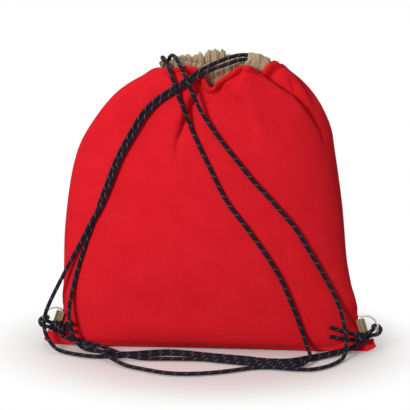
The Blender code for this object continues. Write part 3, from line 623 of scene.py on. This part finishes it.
# %% [markdown]
# ## Casing
# The cords run in a strip of thin khaki nylon that is sewn inside the mouth. Drawn shut, its length is crowded
# into a third of itself, so the nylon stands up in sharp little pleats of uneven height. Each half is a sleeve
# round the cords, open at both ends of the mouth.

# %% Gather the casing
def ring_point(out, angle, facing, height):
    """A point beside the mouth's middle line: out along its normal, height above the foot of the casing."""
    x, y = MOUTH_HALF_WIDTH * np.sin(angle), facing * MOUTH_HALF_DEPTH * np.cos(angle)
    nx, ny = np.sin(angle) / MOUTH_HALF_WIDTH, facing * np.cos(angle) / MOUTH_HALF_DEPTH
    size = np.hypot(nx, ny)
    return np.stack([MOUTH_SHIFT + x + nx / size * out, y + ny / size * out, CASING_FOOT + height], axis=-1)


# Height of the top edge above the casing's foot and its lean away from the mouth, in millimetres, by degrees
CASING_TOPS = {
    1: [(-84, 22.0), (-70, 23.5), (-52, 26.0), (-40, 28.5), (-31, 26.5), (-24, 30.0), (-19, 27.5), (-10, 33.5),
        (-2, 32.5), (4, 33.5), (10, 29.0), (20, 27.5), (32, 26.5), (50, 26.5), (66, 27.0), (74, 25.0)],
    -1: [(-66, 25.5), (-50, 27.0), (-30, 25.0), (-10, 24.0), (5, 24.0), (18, 25.0), (30, 27.0), (42, 28.5),
         (52, 28.5), (62, 28.0), (76, 26.0)],
}
CASING_LEAN = {
    1: [(-84, 10.0), (-66, 9.0), (-50, 5.5), (-30, 2.5), (0, 1.0), (74, 2.0)],
    -1: [(-66, 8.0), (-50, 5.0), (-20, 1.0), (-10, 0.3), (6, 0.3), (20, 1.0), (38, 3.0), (55, 4.0), (76, 3.0)],
}
CASING_ENDS = {1: (-84, 73), -1: (-66, 75)}
PLEAT_EVERY, PLEAT_DEPTH, PLEAT_RISE = 8.2, 0.0027, 0.0042  # degrees; how far a pleat stands out and up
PLEAT_DRAWS = 30
# Spans to draw from for each pleat: its shift, its lean, its strength and that of the fine pleats on it
PLEAT_SPANS = ((-0.25, 0.25), (-0.55, 0.55), (0.55, 1.25), (0.4, 1.2))
SLEEVE_COLUMNS, SLEEVE_ROWS = 560, 30


def pleats(degrees, share, draws):
    """Sharp valleys and rounded ridges between -0.5 and 0.5, unevenly spaced, each leaning its own way."""
    place = degrees / PLEAT_EVERY
    shift, lean, strong, fine = (np.interp(place - place[0], np.arange(PLEAT_DRAWS), drawn) for drawn in draws)
    shift = shift + share * lean
    ridge = abs(np.sin((place + shift) * math.pi)) ** 0.7 - 0.5
    small = abs(np.sin((place * 2.3 + 1.6 * shift + 0.8 * share) * math.pi)) ** 0.8 - 0.5
    return ridge * strong + 0.35 * small * fine


def nylon_sleeve(facing, name, chance):
    """One half of the casing: a flattened, pleated tube along the mouth."""
    degrees = np.linspace(*CASING_ENDS[facing], SLEEVE_COLUMNS)
    angle = np.radians(degrees)
    draws = [chance.uniform(*span, PLEAT_DRAWS) for span in PLEAT_SPANS]
    back_draws = [draws[0] + chance.uniform(-0.2, 0.2, PLEAT_DRAWS), *draws[1:]]
    tops, leans = (np.array([along(table[facing], d) for d in degrees]) / 1000
                   for table in (CASING_TOPS, CASING_LEAN))
    loop = []
    for k in range(2 * SLEEVE_ROWS):  # up the outside of the sleeve and down its inside
        outside = k < SLEEVE_ROWS
        share = (k + 0.5 if outside else 2 * SLEEVE_ROWS - k - 0.5) / SLEEVE_ROWS
        pleat = pleats(degrees, share, draws if outside else back_draws)
        crown = ease(0.15, 0.8, share)
        belly = (1 - abs(2 * share - 1) ** 3.0) ** 0.5
        wall = (CASING_HALF_GAP + GAP + 0.0012 * crown) * belly
        wall = wall + (0.0006 + PLEAT_DEPTH * crown) * pleat * ease(0.0, 0.12, 1.02 - share)
        out = (wall if outside else -wall) + leans * share**2
        height = tops * share + crown * PLEAT_RISE * pleats(degrees, share, draws)
        loop.append(ring_point(out, angle, facing, height))
    return grid_mesh(name, np.stack(loop + loop[:1]), facing < 0, (0.10, 0.07))


chance = np.random.default_rng(11)
casings = {}
for facing, name in ((-1, "strap_side_nylon"), (1, "outer_side_nylon")):
    casings[facing] = nylon_sleeve(facing, name, chance)
    weld = casings[facing].modifiers.new("weld", "WELD")
    weld.merge_threshold = 0.00001
    apply_modifiers(casings[facing])

# %% [markdown]
# Where the right cords come out, the mouth of the strap side's sleeve lies over them like a small hood. It is
# a strip of the same nylon that rises behind the cords, goes over them and hangs down in front.

# %% Lay the hood over the right cords
# Place across the bag, then depth and height of the upper and of the lower cord there, in millimetres
HOODED = [(40, -19.2, 316.5, -24.4, 312.4), (51, -17.0, 315.0, -21.0, 311.0), (58, -13.6, 312.2, -17.6, 308.6),
          (67, -8.5, 307.5, -12.0, 303.0)]
# Rows of the hood: which cord it follows (0 upper, 1 lower), and how far from it in depth and height
HOOD_ROWS = [(0, 5.5, -9.0), (0, 4.6, -3.0), (0, 3.4, 2.2), (0, 0.4, 4.0), (0, -2.4, 3.4), (1, -1.8, 3.6),
             (1, -3.9, 1.2), (1, -4.4, -2.4), (1, -3.6, -6.5), (1, -1.8, -10.5)]
HOOD_FROM, HOOD_WIDTH = 41.5, 25.0


def hood(columns=90, rows=44):
    """The nylon over the right cords, as a crumpled strip."""
    across = np.linspace(0, 1, columns)
    places, *cord_lines = np.array(HOODED).T
    lines = []
    for cord, deep, high in HOOD_ROWS:
        mouth = 2.6 * np.exp(-((high - 3.0) / 3.0) ** 2) + 0.8 * np.sin(high * 0.9)  # its edge is uneven
        x = HOOD_FROM + HOOD_WIDTH * across + (1 - across) * mouth
        y = np.interp(x, places, cord_lines[2 * cord]) + deep
        z = np.interp(x, places, cord_lines[2 * cord + 1]) + high
        lines.append(np.stack([x, y, z], axis=1))
    grid, _ = smooth_rows(lines, rows)
    down = np.linspace(0, 1, rows)[:, None]
    crumple = np.sin(across * 17 + down * 5.0) * 0.5 + np.sin(across * 31 - down * 9.0 + 1.0) * 0.3
    crumple = crumple + np.sin(across * 9 + down * 14.0) * 0.35
    flare = np.exp(-across / 0.12)
    grid += grid_normals(grid, -1) * ((crumple * 0.75 + 0.5 + flare) * ease(0.0, 0.2, down))[:, :, None]
    return grid_mesh("hood", grid / 1000, True, (0.027, 0.04))


covering = hood()
deselect()
covering.select_set(True)
casings[-1].select_set(True)
bpy.context.view_layer.objects.active = casings[-1]
bpy.ops.object.join()

# %% Make the nylon
NYLON = 0.0005  # drawn thinner than in the solids, so that the pleats are sharp
nylon = Finish("khaki_nylon", Roughness=0.5, Sheen_Weight=0.15, Specular_IOR_Level=0.4)
crinkle = nylon.noise(260.0, 4.0, 0.65)
fine = nylon.noise(2400.0, 2.0, 0.6)
tone = crinkle.band(0.3, 0.7) * 0.6 + fine.band(0.3, 0.7) * 0.4
nylon.feed("Base Color", tone.mix((0.37, 0.255, 0.145), (0.56, 0.395, 0.235)))
nylon.bump(crinkle, 0.0022, 0.6)
for facing, node in ((-1, "strap_side_casing"), (1, "outer_side_casing")):
    piece = casings[facing]
    piece.data.materials.append(nylon.material)
    give_wall(piece, NYLON, 0.0)
    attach(piece, "bag")
    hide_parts(node)
print("casing faces:", [len(p.data.polygons) for p in casings.values()])

# %% [markdown]
# ## Cords
# Each cord is one length of braid. It starts in the knot at its ring, runs up the front as one strap, goes
# through the casing round the far opening, comes out of the opening where it went in, and returns to the same
# ring as the other strap. Its route is a row of points on the bag, and a settling step then lays it on the
# fleece, on the floor and on the cords below it, as a hand would.

# %% Cord sizes and routes
CORD, WIRE, CORD_CLEARANCE = 0.0042, 0.0023, 0.0004
SIDES = {"left": -1, "right": 1}
CORD_DROP = {"left": 0.0025, "right": 0.0095}  # from the crest down to each cord inside the casing
RING_OUT, RING_HALF_HEIGHT, RING_STRAIGHT = 0.1630, 0.0125, 0.005
RING_HEIGHT = {"left": 0.0268, "right": 0.0252}
TAB_WIDTH, TAB_SLACK, TAB_ROOT, TAB_TILT, RIBBON = 0.020, 0.0053, 0.0030, math.radians(18), 0.0012
KNOT_HEIGHT = {"left": 0.0235, "right": 0.0190}
KNOT_LENGTH, KNOT_RADIUS, KNOT_SEAT = 0.020, 0.0065, 0.0024
BIGHT_HALF_DEPTH, BIGHT_ANGLE = 0.0100, math.radians(25)
# The two cut ends: how long they are, and how far each rises by the middle of its way
TAILS = {"left": (0.010, (0.0015, 0.0)), "right": (0.0255, (0.0042, 0.0021))}
# Each strand comes out of the strap side's casing (-1) or out of the outer side's (1)
START_FACING = {("right", 1): -1, ("right", 2): 1, ("left", 1): 1, ("left", 2): -1}
# Millimetres, from the opening beside the casing to the knot
ROUTES = {
    ("right", 2): [
        (62, 5, 294), (68, 1, 297.5), (69, -4, 303), (63, -11, 309.5), (51, -17, 315), (36, -20, 317),
        (19, -26, 313), (-3, -35, 304), (-14, -41, 297), (-25, -43, 290), (-47, -38, 275), (-64, -38, 260),
        (-78, -41, 238), (-92, -45, 212), (-102, -47, 187), (-110, -47, 166), (-118, -47, 141),
        (-127, -47, 116), (-136, -46, 89), (-142, -47, 65), (-145, -55, 46), (-144, -62, 31), (-139, -64, 15),
        (-130, -66, 5), (-118, -68, 3), (-106, -70, 3), (-90, -75, 3), (-76, -73, 3), (-60, -68, 3),
        (-38, -63, 3), (-22, -65, 3), (-4, -69, 3), (16, -74, 3), (44, -79, 3), (65, -85, 3), (85, -86, 3),
        (98, -82, 3), (112, -72, 3), (124, -65, 3), (143, -53, 4), (154, -50, 7), (161, -49, 9),
    ],
    ("right", 1): [
        (62, -2.5, 295.5), (65, -6, 300.5), (60, -14, 306), (50, -21, 311), (36, -26, 313), (21, -37.5, 309),
        (8, -41, 305), (-3, -42, 300), (-14, -45, 293), (-25, -46, 286), (-45, -42, 272), (-61, -42, 257),
        (-75, -45, 235), (-89, -48, 210), (-99, -50, 185), (-107, -50, 164), (-122, -49, 137),
        (-138, -46, 107), (-153, -47, 78), (-165, -52, 54), (-171, -59, 38), (-171, -64, 24), (-165, -67, 12),
        (-156, -71, 4), (-145, -76, 3), (-130, -83, 3), (-113, -87, 3), (-89, -84, 3), (-59, -77, 3),
        (-37, -72, 3), (-21, -73, 3), (-4, -77, 3), (17, -83, 3), (45, -88, 3), (65, -94, 3), (85, -96, 3),
        (99, -92, 3), (112, -82, 3), (124, -73, 3), (143, -60, 4), (153, -56, 7), (161, -55, 9),
    ],
    ("left", 1): [
        (-41.5, 5, 301), (-46, 2.5, 304), (-48.5, -3, 309), (-48, -10, 312), (-44, -20, 311), (-37, -34, 300),
        (-31, -44, 284), (-24, -47, 268), (-13, -46, 240), (5, -54, 204), (24, -60, 168), (47, -63, 138),
        (66, -63, 111), (82, -62, 84), (94, -60, 55), (104, -57, 28), (109, -60, 14), (112, -68, 9),
        (114, -80, 9), (113, -91, 7), (109, -99, 4), (98, -103, 3), (78, -104, 3), (58, -102, 3),
        (38, -97, 3), (17, -92, 3), (-2, -88, 3), (-42, -89, 3), (-63, -90, 3), (-84, -88, 6), (-100, -78, 9),
        (-113, -67, 9), (-126, -58, 9), (-140, -52, 11), (-152, -48.5, 13.2),
    ],
    ("left", 2): [
        (-40.5, -3.5, 301), (-42, -1.5, 305), (-41.5, -3.5, 310), (-38.5, -9, 313.5), (-34.5, -19, 315),
        (-30, -31, 312), (-24, -40, 304), (-16, -47, 288), (-8, -47, 270), (-1, -47, 256), (18, -50, 230),
        (37, -54, 207), (51, -56, 190), (66, -56, 174), (82, -56, 156), (96, -55, 139), (107, -54, 121),
        (117, -52, 104), (127, -50, 86), (137, -49, 68), (144, -52, 52), (148, -58, 40), (151, -63, 29),
        (152, -66, 16), (151, -70, 6), (147, -79, 3), (135, -99, 3), (119, -112, 3), (104, -114, 3),
        (86, -111, 3), (70, -109, 3), (58, -111, 3), (46, -116, 3), (27, -126, 3), (7, -133, 3),
        (-16, -137, 3), (-38, -134, 3), (-60, -124, 3), (-75, -116, 3), (-88, -105, 4), (-101, -93, 7),
        (-112, -82, 9), (-120, -72, 9), (-129, -63, 9), (-140, -58, 11), (-152, -54.5, 13.8),
    ],
}


# %% Place rings and knots
def ring_frame(side):
    """Middle of the ring's bar, and the ring's two directions: out from the bag and along the bar."""
    sign = SIDES[side]
    height = RING_HEIGHT[side]
    middle = Vector((CORNER_SHIFT + sign * RING_OUT, seam_depth(height / CREST), height))
    out = Vector((sign * math.cos(TAB_TILT), 0, math.sin(TAB_TILT)))
    lean = SEAM_FORWARD * (SEAM[0][1] - SEAM[1][1]) / (CREST * SEAM[1][0])
    bar = Vector((-sign * math.sin(TAB_TILT), lean * math.cos(TAB_TILT), math.cos(TAB_TILT))).normalized()
    return middle, out, bar


def knot_middle(side):
    height = KNOT_HEIGHT[side]
    front = seam_depth(height / CREST) - GAP / 2 - FLEECE - KNOT_SEAT - KNOT_RADIUS
    return Vector((CORNER_SHIFT + SIDES[side] * RING_OUT, front, height))


def knot_lines(side):
    """The loop round the ring and the two cut ends, as lines of points."""
    sign, middle = SIDES[side], knot_middle(side)
    ring, out, bar = ring_frame(side)
    wire = ring + out * (RING_STRAIGHT + RING_HALF_HEIGHT * math.cos(BIGHT_ANGLE))
    wire -= bar * (RING_HALF_HEIGHT * math.sin(BIGHT_ANGLE))
    outside, half = CORD / 2 + WIRE / 2 + GAP, BIGHT_HALF_DEPTH
    # From the knot, under the ring's wire, round it and back over it
    steps = [(-0.0075, -half - 0.0005, -0.0040), (-0.001, -half, -0.003),
             (outside - 0.0012, -half * 0.62, -0.0015), (outside, 0, 0),
             (outside - 0.0012, half * 0.62, 0.0005), (-0.0005, half, 0.0012),
             (-outside - 0.0004, half * 0.6, 0.002), (-outside - 0.0012, -0.001, 0.0028),
             (-outside - 0.0008, -half * 0.95, 0.0028)]
    loop = [middle + Vector((sign * KNOT_LENGTH * 0.2, 0, -0.0034))]
    loop += [wire + Vector((sign * x, y, z)) for x, y, z in steps]
    loop.append(middle + Vector((sign * KNOT_LENGTH * 0.2, 0, 0.0034)))
    tails = []
    length, rises = TAILS[side]
    for level, rise in zip((0.0032, -0.0028), rises):
        start = middle + Vector((-sign * KNOT_LENGTH * 0.3, 0.0005, level))
        tails.append([start, start + Vector((-sign * length * 0.5, -0.0035, rise)),
                      start + Vector((-sign * length * 1.08, -0.0050, rise * 2.2))])
    return loop, tails


# %% Lay the cords
def smooth_line(points, step):
    """Points a step apart along a smooth curve through the given ones."""
    points = np.array([tuple(p) for p in points], dtype=float)
    padded = with_ends(points)
    dense = []
    for a, b, c, d in zip(padded, padded[1:], padded[2:], padded[3:]):
        parts = max(2, int(np.linalg.norm(c - b) / 0.0008))
        s = (np.arange(parts) / parts)[:, None]
        dense.append(0.5 * (b * 2 + (c - a) * s + (a * 2 - b * 5 + c * 4 - d) * s**2
                            + (b * 3 - a - c * 3 + d) * s**3))
    dense = np.concatenate([*dense, points[-1:]])
    lengths = add_up(strides(dense))
    want = np.linspace(0, lengths[-1], max(2, round(lengths[-1] / step)) + 1)
    return np.stack([np.interp(want, lengths, dense[:, k]) for k in range(3)], axis=1)


def channel_point(side, angle):
    x = MOUTH_SHIFT - SIDES[side] * MOUTH_HALF_WIDTH * math.cos(angle)
    return np.array([x, MOUTH_HALF_DEPTH * math.sin(angle), CREST - CORD_DROP[side]])


def skin_tree(pieces):
    """Everything the cords lie on, for finding the nearest point."""
    points, faces = [], []
    for piece in pieces:
        start = len(points)
        points += [v.co.copy() for v in piece.data.vertices]
        faces += [[start + k for k in p.vertices] for p in piece.data.polygons]
    return BVHTree.FromPolygons(points, faces)


def as_bars(line, size):
    line = np.array([tuple(p) for p in line])
    return line[:-1], line[1:] - line[:-1], size


ON_FLOOR = 0.014  # below this height a cord that lies over another is lifted straight up
OFF_BAG = (0.0, -0.9, 0.436)  # and above it, this way
SUNK = 0.009  # how deep in the cloth a point may be and still be brought out
PULLS, LAST_PUSHES, LAST_PULLS = 90, 12, 2
# Share of the way that a point goes in one pull: to between its neighbours, back to its route, and the former
# in the last pulls
TAUT, HOMEWARD, SOFT = 0.4, 0.15, 0.3


def settle(line, skin, others):
    """Pull a cord straight between its ends and push it off everything it may not enter."""
    home, radius = line.copy(), CORD / 2

    def push():
        lifts = np.tile((0.0, 0.0, 1.0), (len(line), 1))
        for k, place in enumerate(line[4:], 4):
            near, normal, _, gap = skin.find_nearest(Vector(place))
            if place[2] > ON_FLOOR:
                lifts[k] = OFF_BAG
            away = Vector(place) - near
            inside = gap < SUNK and away.dot(normal) < -0.6 * gap
            if inside or gap < radius + CORD_CLEARANCE:
                way = normal if inside else away / gap
                line[k] = near + way * (radius + CORD_CLEARANCE)
        for start, step, size in others:
            to = line[:, None, :] - start[None, :, :]
            share = np.clip((to * step).sum(2) / (step * step).sum(1), 0, 1)
            off = to - share[:, :, None] * step
            far = np.linalg.norm(off, axis=2)
            first = far.argmin(1)
            off = off[np.arange(len(line)), first]
            gap = np.maximum(far.min(1), 1e-6)
            need = radius + size + CORD_CLEARANCE
            rise = (off * lifts).sum(1)
            over = (gap < need) & (rise > 0.3 * gap)
            beside = (gap < need) & ~over
            higher = np.sqrt(np.maximum(need**2 - gap**2, 0) + rise**2) - rise
            line[over] += lifts[over] * higher[over, None]
            line[beside] += off[beside] * (need / gap - 1)[beside, None]
        line[:, 2] = np.maximum(line[:, 2], radius + GAP)

    def pull(share):
        line[3:-1] += share * ((line[2:-2] + line[4:]) / 2 - line[3:-1])

    for turn in range(PULLS):
        pull(TAUT)
        line[3:-1] += HOMEWARD * (home[3:-1] - line[3:-1])
        if turn % 2 == 0:
            push()
    for _ in range(LAST_PUSHES):
        push()
    for _ in range(LAST_PULLS):
        pull(SOFT)
    return line


def cord_mesh(name, lines, sides=16):
    """Round tubes along lines of points, with u round the cord from 0 to 1 and v along it in metres."""
    points, quads, uvs, caps = [], [], [], []
    for line in lines:
        line = np.array([tuple(p) for p in line])
        ahead = unit(np.gradient(line, axis=0))
        travel = add_up(strides(line))
        turned, start = np.array([0.1, 0.2, 1.0]), len(points)
        for k, place in enumerate(line):
            turned = turned - ahead[k] * (turned @ ahead[k])
            turned /= np.linalg.norm(turned)
            across = np.cross(ahead[k], turned)
            for n in range(sides):
                a = 2 * math.pi * n / sides
                points.append(place + (turned * math.cos(a) + across * math.sin(a)) * (CORD / 2))
            for n in range(sides if k else 0):
                m, low = (n + 1) % sides, start + (k - 1) * sides
                quads.append((low + n, low + m, low + sides + m, low + sides + n))
                uvs += [(n / sides, travel[k - 1]), ((n + 1) / sides, travel[k - 1]),
                        ((n + 1) / sides, travel[k]), (n / sides, travel[k])]
        caps += [tuple(range(start, start + sides))[::-1], tuple(range(len(points) - sides, len(points)))]
    mesh = bpy.data.meshes.new(name)
    mesh.from_pydata([tuple(p) for p in points], [], quads + caps)
    flat = np.zeros((len(mesh.loops), 2), dtype=np.float32)
    flat[:len(uvs)] = uvs
    mesh.uv_layers.new(name="braid").data.foreach_set("uv", flat.reshape(-1))
    mesh.shade_smooth()
    return put(name, mesh)


# %% Route both cords
skin = skin_tree([strap_panel, outer_panel])
obstacles = []
for side in SIDES:
    loop, tails = knot_lines(side)
    middle = knot_middle(side)
    half = Vector((KNOT_LENGTH / 2 - 0.002, 0, 0))
    obstacles.append(as_bars([middle - half, middle + half], KNOT_RADIUS))
    obstacles += [as_bars(smooth_line(line, 0.004), CORD / 2) for line in (loop, *tails)]
    ring, out, bar = ring_frame(side)
    obstacles.append(as_bars([ring - bar * 0.008, ring + bar * 0.008], TAB_SLACK))
laid = {}
for (side, strand), route in ROUTES.items():
    angles = [math.pi / 2 + CASING_END + math.radians(a) for a in (-2.5, 1)]
    start = [channel_point(side, START_FACING[side, strand] * a) for a in angles]
    rough = smooth_line(start + [np.array(p) / 1000 for p in route], 0.003)
    laid[side, strand] = settle(rough, skin, obstacles)
    obstacles.append(as_bars(laid[side, strand], CORD / 2))
cords = {}
for side in ("right", "left"):
    first, second = sorted((1, 2), key=lambda strand: START_FACING[side, strand])
    reach = math.pi / 2 + CASING_END - math.radians(8)
    channel = [channel_point(side, reach * (k / 30 - 1)) for k in range(61)]
    whole = smooth_line(np.concatenate([laid[side, first][::-1], channel, laid[side, second]]), 0.0016)
    length = float(strides(whole).sum())
    cord = cords[side] = cord_mesh(f"{side}_drawcord", [whole])
    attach(cord, "bag")
    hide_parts(f"cord_{side}_strand_1", f"cord_{side}_strand_2", f"cord_{side}_channel")
    print(side, "cord", round(length, 3), "m, seconds so far", round(time.time() - began, 1))

# %% [markdown]
# ## Braid
# The cord is plaited from sixteen navy yarn bundles, and one of them carries a tan tracer. A bundle winds
# round the cord as it runs along, passing over and under those that wind the other way, so the tracer shows as
# a short slanted dash again and again. Both windings are stripes of u plus and minus v.

# %% Make the braid
braid = Finish("navy_cord", Roughness=0.75, Specular_IOR_Level=0.18)
u, v = braid.surface()
BUNDLES, PITCH = 8.0, 0.0118  # bundles that wind one way, and metres along the cord for one turn
one_way, other_way = u + v / PITCH, u - v / PITCH
stripes, cross_stripes = ((way * BUNDLES * math.pi).sine().size() for way in (one_way, other_way))
weave_and_groove_shade = stripes * 0.5 + cross_stripes * 0.5
tracer = 1.0 - (one_way.part() - 0.5).size().band(0.028, 0.060)
over = cross_stripes.band(0.25, 0.5)
# The navy is painted near-black in the grooves between the bundles, where the weave is low: painted shade.
navy = weave_and_groove_shade.band(0.25, 0.95).mix((0.002, 0.0025, 0.006), (0.0085, 0.0105, 0.027))
braid.feed("Base Color", (tracer * over * 0.85).mix(navy, (0.33, 0.15, 0.070)))
braid.bump(weave_and_groove_shade, 0.0005, 0.8)
for cord in cords.values():
    cord.data.materials.append(braid.material)

# %% [markdown]
# ## Knots
# Both ends of a cord are tied together round the ring: a loop goes through the D, three turns bind it against
# the corner of the bag, and two cut ends stick out towards the middle of the bag.

# %% Tie the knots
TURNS = 3.3
TURN_START = {"left": 2.0, "right": 0.4}  # radians
for side, sign in SIDES.items():
    middle = knot_middle(side)
    loop, tails = knot_lines(side)
    wrap = []
    for s in np.linspace(0, 1, 90):
        a = 2 * math.pi * TURNS * s + TURN_START[side]
        reach = (KNOT_RADIUS - CORD / 2) * (1 - 0.45 * (ease(0.0, 0.06, 0.06 - s) + ease(0.94, 1.0, s)))
        along_knot = sign * (s - 0.5) * (KNOT_LENGTH - CORD) * 0.92
        wrap.append(middle + Vector((along_knot, reach * math.cos(a), reach * math.sin(a))))
    lines = [wrap, smooth_line(loop, 0.0012)] + [smooth_line(line, 0.0015) for line in tails]
    # The laid cord's end leads on into the knot
    for strand, place in ((1, -0.3), (2, -0.05)):
        last, before = (Vector(laid[side, strand][k]) for k in (-1, -3))
        on = (last - before).normalized()
        lines.append(smooth_line([before, last, last + on * 0.003 + Vector((0, -0.0005, 0.0025)),
                                  middle + Vector((sign * KNOT_LENGTH * place, -0.001, 0.0))], 0.0012))
    knot = cord_mesh(f"{side}_knot", lines)
    knot.data.materials.append(braid.material)
    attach(knot, "bag")
    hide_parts(f"knot_{side}")

# %% [markdown]
# ## Rings and tabs
# A D-ring is bent from one nickel plated wire. A khaki ribbon folded round its straight bar is sewn into the
# corner of the bag.

# %% Bend the rings
RING_CORNER = 0.0026
nickel = Finish("nickel_wire", Roughness=0.22, Metallic=1.0, Base_Color=(0.66, 0.63, 0.59))
for side in SIDES:
    middle, out, bar = ring_frame(side)
    line = []
    for a in np.radians(np.linspace(-90, 90, 41)):
        line.append(middle + out * (RING_STRAIGHT + RING_HALF_HEIGHT * math.cos(a))
                    + bar * RING_HALF_HEIGHT * math.sin(a))
    for end in (1, -1):
        for a in np.radians(np.linspace(0, 90, 9)[::end]):
            line.append(middle + bar * end * (RING_HALF_HEIGHT - RING_CORNER * (1 - math.cos(a)))
                        + out * RING_CORNER * (1 - math.sin(a)))
    curve = bpy.data.curves.new(f"{side}_ring", "CURVE")
    curve.dimensions, curve.bevel_depth, curve.bevel_resolution = "3D", WIRE / 2, 6
    spline = curve.splines.new("POLY")
    spline.points.add(len(line) - 1)
    for point, place in zip(spline.points, line):
        point.co = (*place, 1.0)
    spline.use_cyclic_u = True
    ring = put(f"{side}_ring", curve)
    curve.materials.append(nickel.material)
    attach(ring, f"{side}_ring")
    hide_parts(f"ring_{side}")

# %% Fold the tabs
ribbon = Finish("khaki_ribbon", Roughness=0.75, Sheen_Weight=0.1)
u, v = ribbon.surface()
rib_and_groove_shade = (v * 2800.0).sine() * 0.5 + 0.5
# The khaki is painted darker in the grooves between the ribs, where the rib is low: painted shade.
ribbon.feed("Base Color", rib_and_groove_shade.mix((0.20, 0.135, 0.075), (0.33, 0.23, 0.13)))
ribbon.bump(rib_and_groove_shade, 0.0003, 0.7)
for side, sign in SIDES.items():
    middle, out, bar = ring_frame(side)
    forward = out.cross(bar) * sign
    radius = WIRE / 2 + GAP + RIBBON / 2
    flat = [-TAB_ROOT + (TAB_ROOT + TAB_SLACK - radius) * s for s in (0.0, 0.5, 1.0)]
    profile = [(x, radius) for x in flat]
    profile += [(TAB_SLACK - radius + radius * math.cos(a), radius * math.sin(a))
                for a in np.radians(np.linspace(90, -90, 13)[1:])]
    profile += [(x, -radius) for x in flat[1::-1]]
    grid = np.array([[tuple(middle + out * x + forward * y + bar * e * TAB_WIDTH)
                      for e in np.linspace(-0.5, 0.5, 15)] for x, y in profile])
    tab = grid_mesh(f"{side}_tab", grid, False, (TAB_WIDTH, 0.03))
    tab.data.materials.append(ribbon.material)
    give_wall(tab, RIBBON, 0.0)
    edge = tab.modifiers.new("edge", "BEVEL")
    edge.width, edge.segments = 0.00025, 2
    apply_modifiers(tab)
    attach(tab, "bag")
    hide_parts(f"tab_{side}")

# %% Finish
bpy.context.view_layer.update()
print("seconds:", round(time.time() - began, 1))
